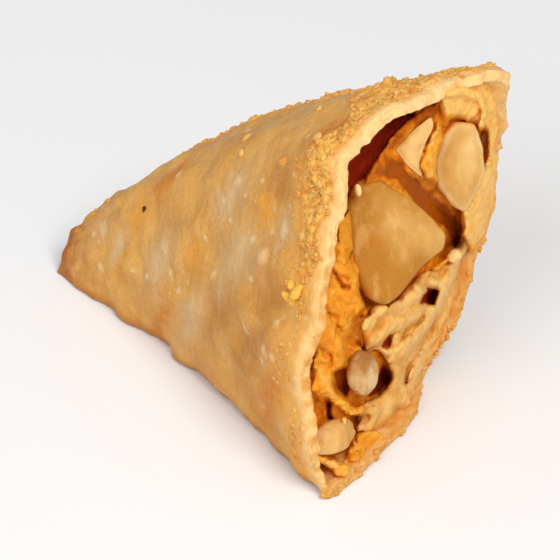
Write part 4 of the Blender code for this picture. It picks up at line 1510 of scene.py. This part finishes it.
# %% Inner dough finish and piece
def inner_dough():
    f = Finish(
        "inner_dough", Subsurface_Weight=0.25, Subsurface_Scale=0.003,
        Subsurface_Radius=(1.0, 0.6, 0.25), Specular_IOR_Level=0.22,
        Coat_Weight=0.03, Coat_Roughness=0.3,
    )
    cloudy = f.times(f.sum(f.pattern(2.4 * MM, 4, twist=0.6), 0.5, "SUBTRACT"), 1.8)
    cloudy = f.sum(f.mask("tone"), cloudy)
    fine = f.pattern(0.8 * MM, 3)
    colour = f.mix(f.span(cloudy, -0.1, 0.5), paint(210, 132, 36), paint(222, 158, 70))
    colour = f.mix(f.span(cloudy, 0.4, 1.1), colour, paint(240, 190, 108))
    colour = f.mix(f.times(f.span(fine, 0.46, 0.3), 0.3), colour, paint(206, 138, 58))
    # Painted shade: the dough is darker the deeper it lies below the filling's level.
    colour = f.mix(f.span(f.mask("deep"), 0.0, 1.0), colour, paint(196, 110, 28))
    # Painted shade: orange-brown, then maroon, in holes and grooves.
    colour = f.mix(f.span(f.mask("hole"), 0.0, 0.45), colour, paint(190, 98, 16))
    colour = f.mix(f.span(f.mask("hole"), 0.4, 1.0), colour, paint(172, 54, 26))
    roughness = f.span(f.pattern(1.2 * MM, 2), 0.3, 0.7, 0.36, 0.56)
    relief = f.sum(f.times(f.pattern(0.4 * MM, 3), 0.6), f.pattern(1.1 * MM, 3))
    return f.wear(colour, roughness, relief=relief, depth=0.16 * MM)


new_piece(
    "inner_dough_layers", from_mouth(dough_places), dough_quads.tolist(), inner_dough(),
    "fried_pastry",
    tone=on_map(dough_tone, dough_places),
    # Painted shade: how deep each point lies, and how far into a hole.
    deep=rise(below_level(dough_places), 0.6, 2.8),
    hole=hole_mask(dough_places, dough_open, dough_painted_shade),
)

# %% [markdown]
# ## Onion, pale lump and seeds
#
# Low in the mouth a bead of softened onion sits between two holes. It lets light through, so it
# gets transmission and a wet coat. A pale lump of potato lies below it, and two seeds are stuck
# to the potato. Each is a ball of points squeezed and roughened into its own shape.

# %% Rounded lumps
ONION = {"middle": (19.3, 1.4, -1.2), "size": (2.5, 3.5, 1.5)}
LOWER_LUMP = {"middle": (9.4, 1.5, -1.7), "size": (4.2, 2.3, 2.2)}
SEEDS = ((40.0, -5.9, 0.9, (1.25, 0.95, 0.7)), (42.8, 18.2, -0.4, (0.5, 0.9, 0.5)))


def lump(middle, size, axes, unevenness, grain, seed, detail=5):
    """A squeezed, uneven ball on the mouth's map, sizes in millimetres."""
    points, faces = ball(detail)
    size = np.array(size)
    dents = noise(points * size, grain, seed) + 0.4 * noise(points * size, grain / 2.3, seed + 7)
    shaped = points * size * (1 + unevenness * dents)[:, None]
    return shaped * MM @ axes + from_mouth(np.array(middle, float)), faces


def soft_onion():
    f = Finish(
        "soft_onion", Subsurface_Weight=0.40, Subsurface_Scale=0.004, Transmission_Weight=0.25,
        Subsurface_Radius=(1.0, 0.7, 0.4), Specular_IOR_Level=0.2, Coat_Weight=0.06, Coat_Roughness=0.2,
    )
    veins = f.span(f.pattern(1.6 * MM, 3, stretch=(1, 1, 0.3)), 0.35, 0.65)
    colour = f.mix(veins, paint(242, 204, 146), paint(214, 158, 88))
    upper = f.sum(f.mask("upper"), f.times(f.sum(f.pattern(2.0 * MM, 3), 0.5, "SUBTRACT"), 1.4))
    colour = f.mix(f.span(upper, -0.1, 0.9), colour, paint(184, 124, 50))
    roughness = f.span(f.pattern(1.2 * MM, 2), 0.3, 0.7, 0.24, 0.42)
    return f.wear(colour, roughness, relief=f.pattern(0.9 * MM, 2), depth=0.15 * MM)


def pale_seed():
    f = Finish(
        "pale_seed", Subsurface_Weight=0.2, Subsurface_Scale=0.002,
        Subsurface_Radius=(1.0, 0.7, 0.35), IOR=1.45, Coat_Weight=0.2, Coat_Roughness=0.25,
    )
    colour = f.mix(f.span(f.pattern(0.8 * MM, 3), 0.35, 0.65), paint(252, 216, 146), paint(240, 188, 104))
    roughness = f.span(f.pattern(0.7 * MM, 2), 0.3, 0.7, 0.34, 0.5)
    return f.wear(colour, roughness, relief=f.pattern(0.4 * MM, 2), depth=0.08 * MM)


mouth_facing = facing_axes(OUT_MOUTH)
lump_points, lump_faces = lump(LOWER_LUMP["middle"], LOWER_LUMP["size"], mouth_facing, 0.16, 2.1, 91)
zero = np.zeros(len(lump_points))
# Painted shade: the pale lump is darker towards its right side.
painted_shade_right = (lump_points - lump_points.mean(axis=0)) @ mouth_facing[0] / (4 * MM)
new_piece(
    "potato_lower_piece", lump_points, lump_faces, boiled_potato_finish, "cooked_potato",
    ("potato_lower",), side=zero + 0.1, shade=0.30 + 0.45 * np.clip(painted_shade_right, -0.2, 1), edge=zero,
)
onion_points, onion_faces = lump(ONION["middle"], ONION["size"], mouth_facing, 0.12, 2.4, 92)
onion_up = (onion_points - onion_points.mean(axis=0)) @ mouth_facing[1] / (ONION["size"][1] * MM)
new_piece(
    "onion_bead", onion_points, onion_faces, soft_onion(), "cooked_onion", ("onion_piece",),
    upper=onion_up,
)

seed_points, seed_faces = [], []
for number, (up, across, above, size) in enumerate(SEEDS):
    one_points, one_faces = lump(on_face(up, across, above), size, mouth_facing, 0.15, 0.8, 93 + number, 4)
    seed_faces += [[i + len(seed_points) * len(one_points) for i in face] for face in one_faces]
    seed_points.append(one_points)
new_piece("stuck_seeds", np.vstack(seed_points), seed_faces, pale_seed(), "cooked_potato")

# %% [markdown]
# ## The studio
#
# A pale floor, a soft key light high on the right of the camera, a wide fill on its left and a
# bright surround give the even light that food is shown in. The camera looks along the torn
# mouth from the front, well above the table.

# %% Floor
def studio_floor():
    f = Finish("studio_floor", Roughness=0.6)
    tone = f.span(f.pattern(0.25, 2), 0.3, 0.7)
    return f.wear(f.mix(tone, (0.86, 0.86, 0.86, 1), (0.90, 0.90, 0.90, 1)))


FLOOR_SIZE = 4.0
floor_mesh = bpy.data.meshes.new("studio_floor")
half = FLOOR_SIZE / 2
floor_mesh.from_pydata([(-half, -half, 0), (half, -half, 0), (half, half, 0), (-half, half, 0)], [], [(0, 1, 2, 3)])
floor_mesh.materials.append(studio_floor())
floor = bpy.data.objects.new("studio_floor", floor_mesh)
floor.location.z = LOW[2] - 0.0002
bpy.context.scene.collection.objects.link(floor)
floor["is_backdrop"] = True

# %% Lights and surround
MIDDLE = (LOW + HIGH) / 2


def looking_from(azimuth, elevation, distance, middle=MIDDLE):
    """A place round the samosa: azimuth 0 is in front of it, and 90 is on its right."""
    a, e = math.radians(azimuth), math.radians(elevation)
    back = Vector((math.sin(a) * math.cos(e), -math.cos(a) * math.cos(e), math.sin(e)))
    return Vector(middle) + back * distance


def soft_light(name, azimuth, elevation, distance, size, power, colour=(1, 1, 1)):
    lamp = bpy.data.lights.new(name, "AREA")
    lamp.shape = "DISK"
    lamp.size = size
    lamp.energy = power
    lamp.color = colour
    light = bpy.data.objects.new(name, lamp)
    light.location = looking_from(azimuth, elevation, distance)
    light.rotation_euler = (Vector(MIDDLE) - light.location).to_track_quat("-Z", "Y").to_euler()
    bpy.context.scene.collection.objects.link(light)


soft_light("key", 75, 52, 0.9, 0.45, 5.0)
soft_light("fill", 5, 40, 1.0, 0.7, 3.4)
world = bpy.data.worlds.new("surround")
world.use_nodes = True
world.node_tree.nodes["Background"].inputs["Color"].default_value = (1.0, 1.0, 1.0, 1)
world.node_tree.nodes["Background"].inputs["Strength"].default_value = 0.42
bpy.context.scene.world = world

# %% Camera
VIEW_AZIMUTH = 43.97
VIEW_ELEVATION = 37.34
VIEW_DISTANCE = 0.5726
LENS = 250.0
LOOK_AT = LOW + np.array((0.6055, 0.4068, 0.303)) * SPAN
camera_data = bpy.data.cameras.new("camera")
camera_data.lens = LENS
camera_data.clip_start = 0.01
camera = bpy.data.objects.new("camera", camera_data)
camera.location = looking_from(VIEW_AZIMUTH, VIEW_ELEVATION, VIEW_DISTANCE, LOOK_AT)
camera.rotation_euler = (Vector(LOOK_AT) - camera.location).to_track_quat("-Z", "Y").to_euler()
bpy.context.scene.collection.objects.link(camera)
bpy.context.scene.camera = camera
bpy.context.scene.view_settings.view_transform = "Standard"
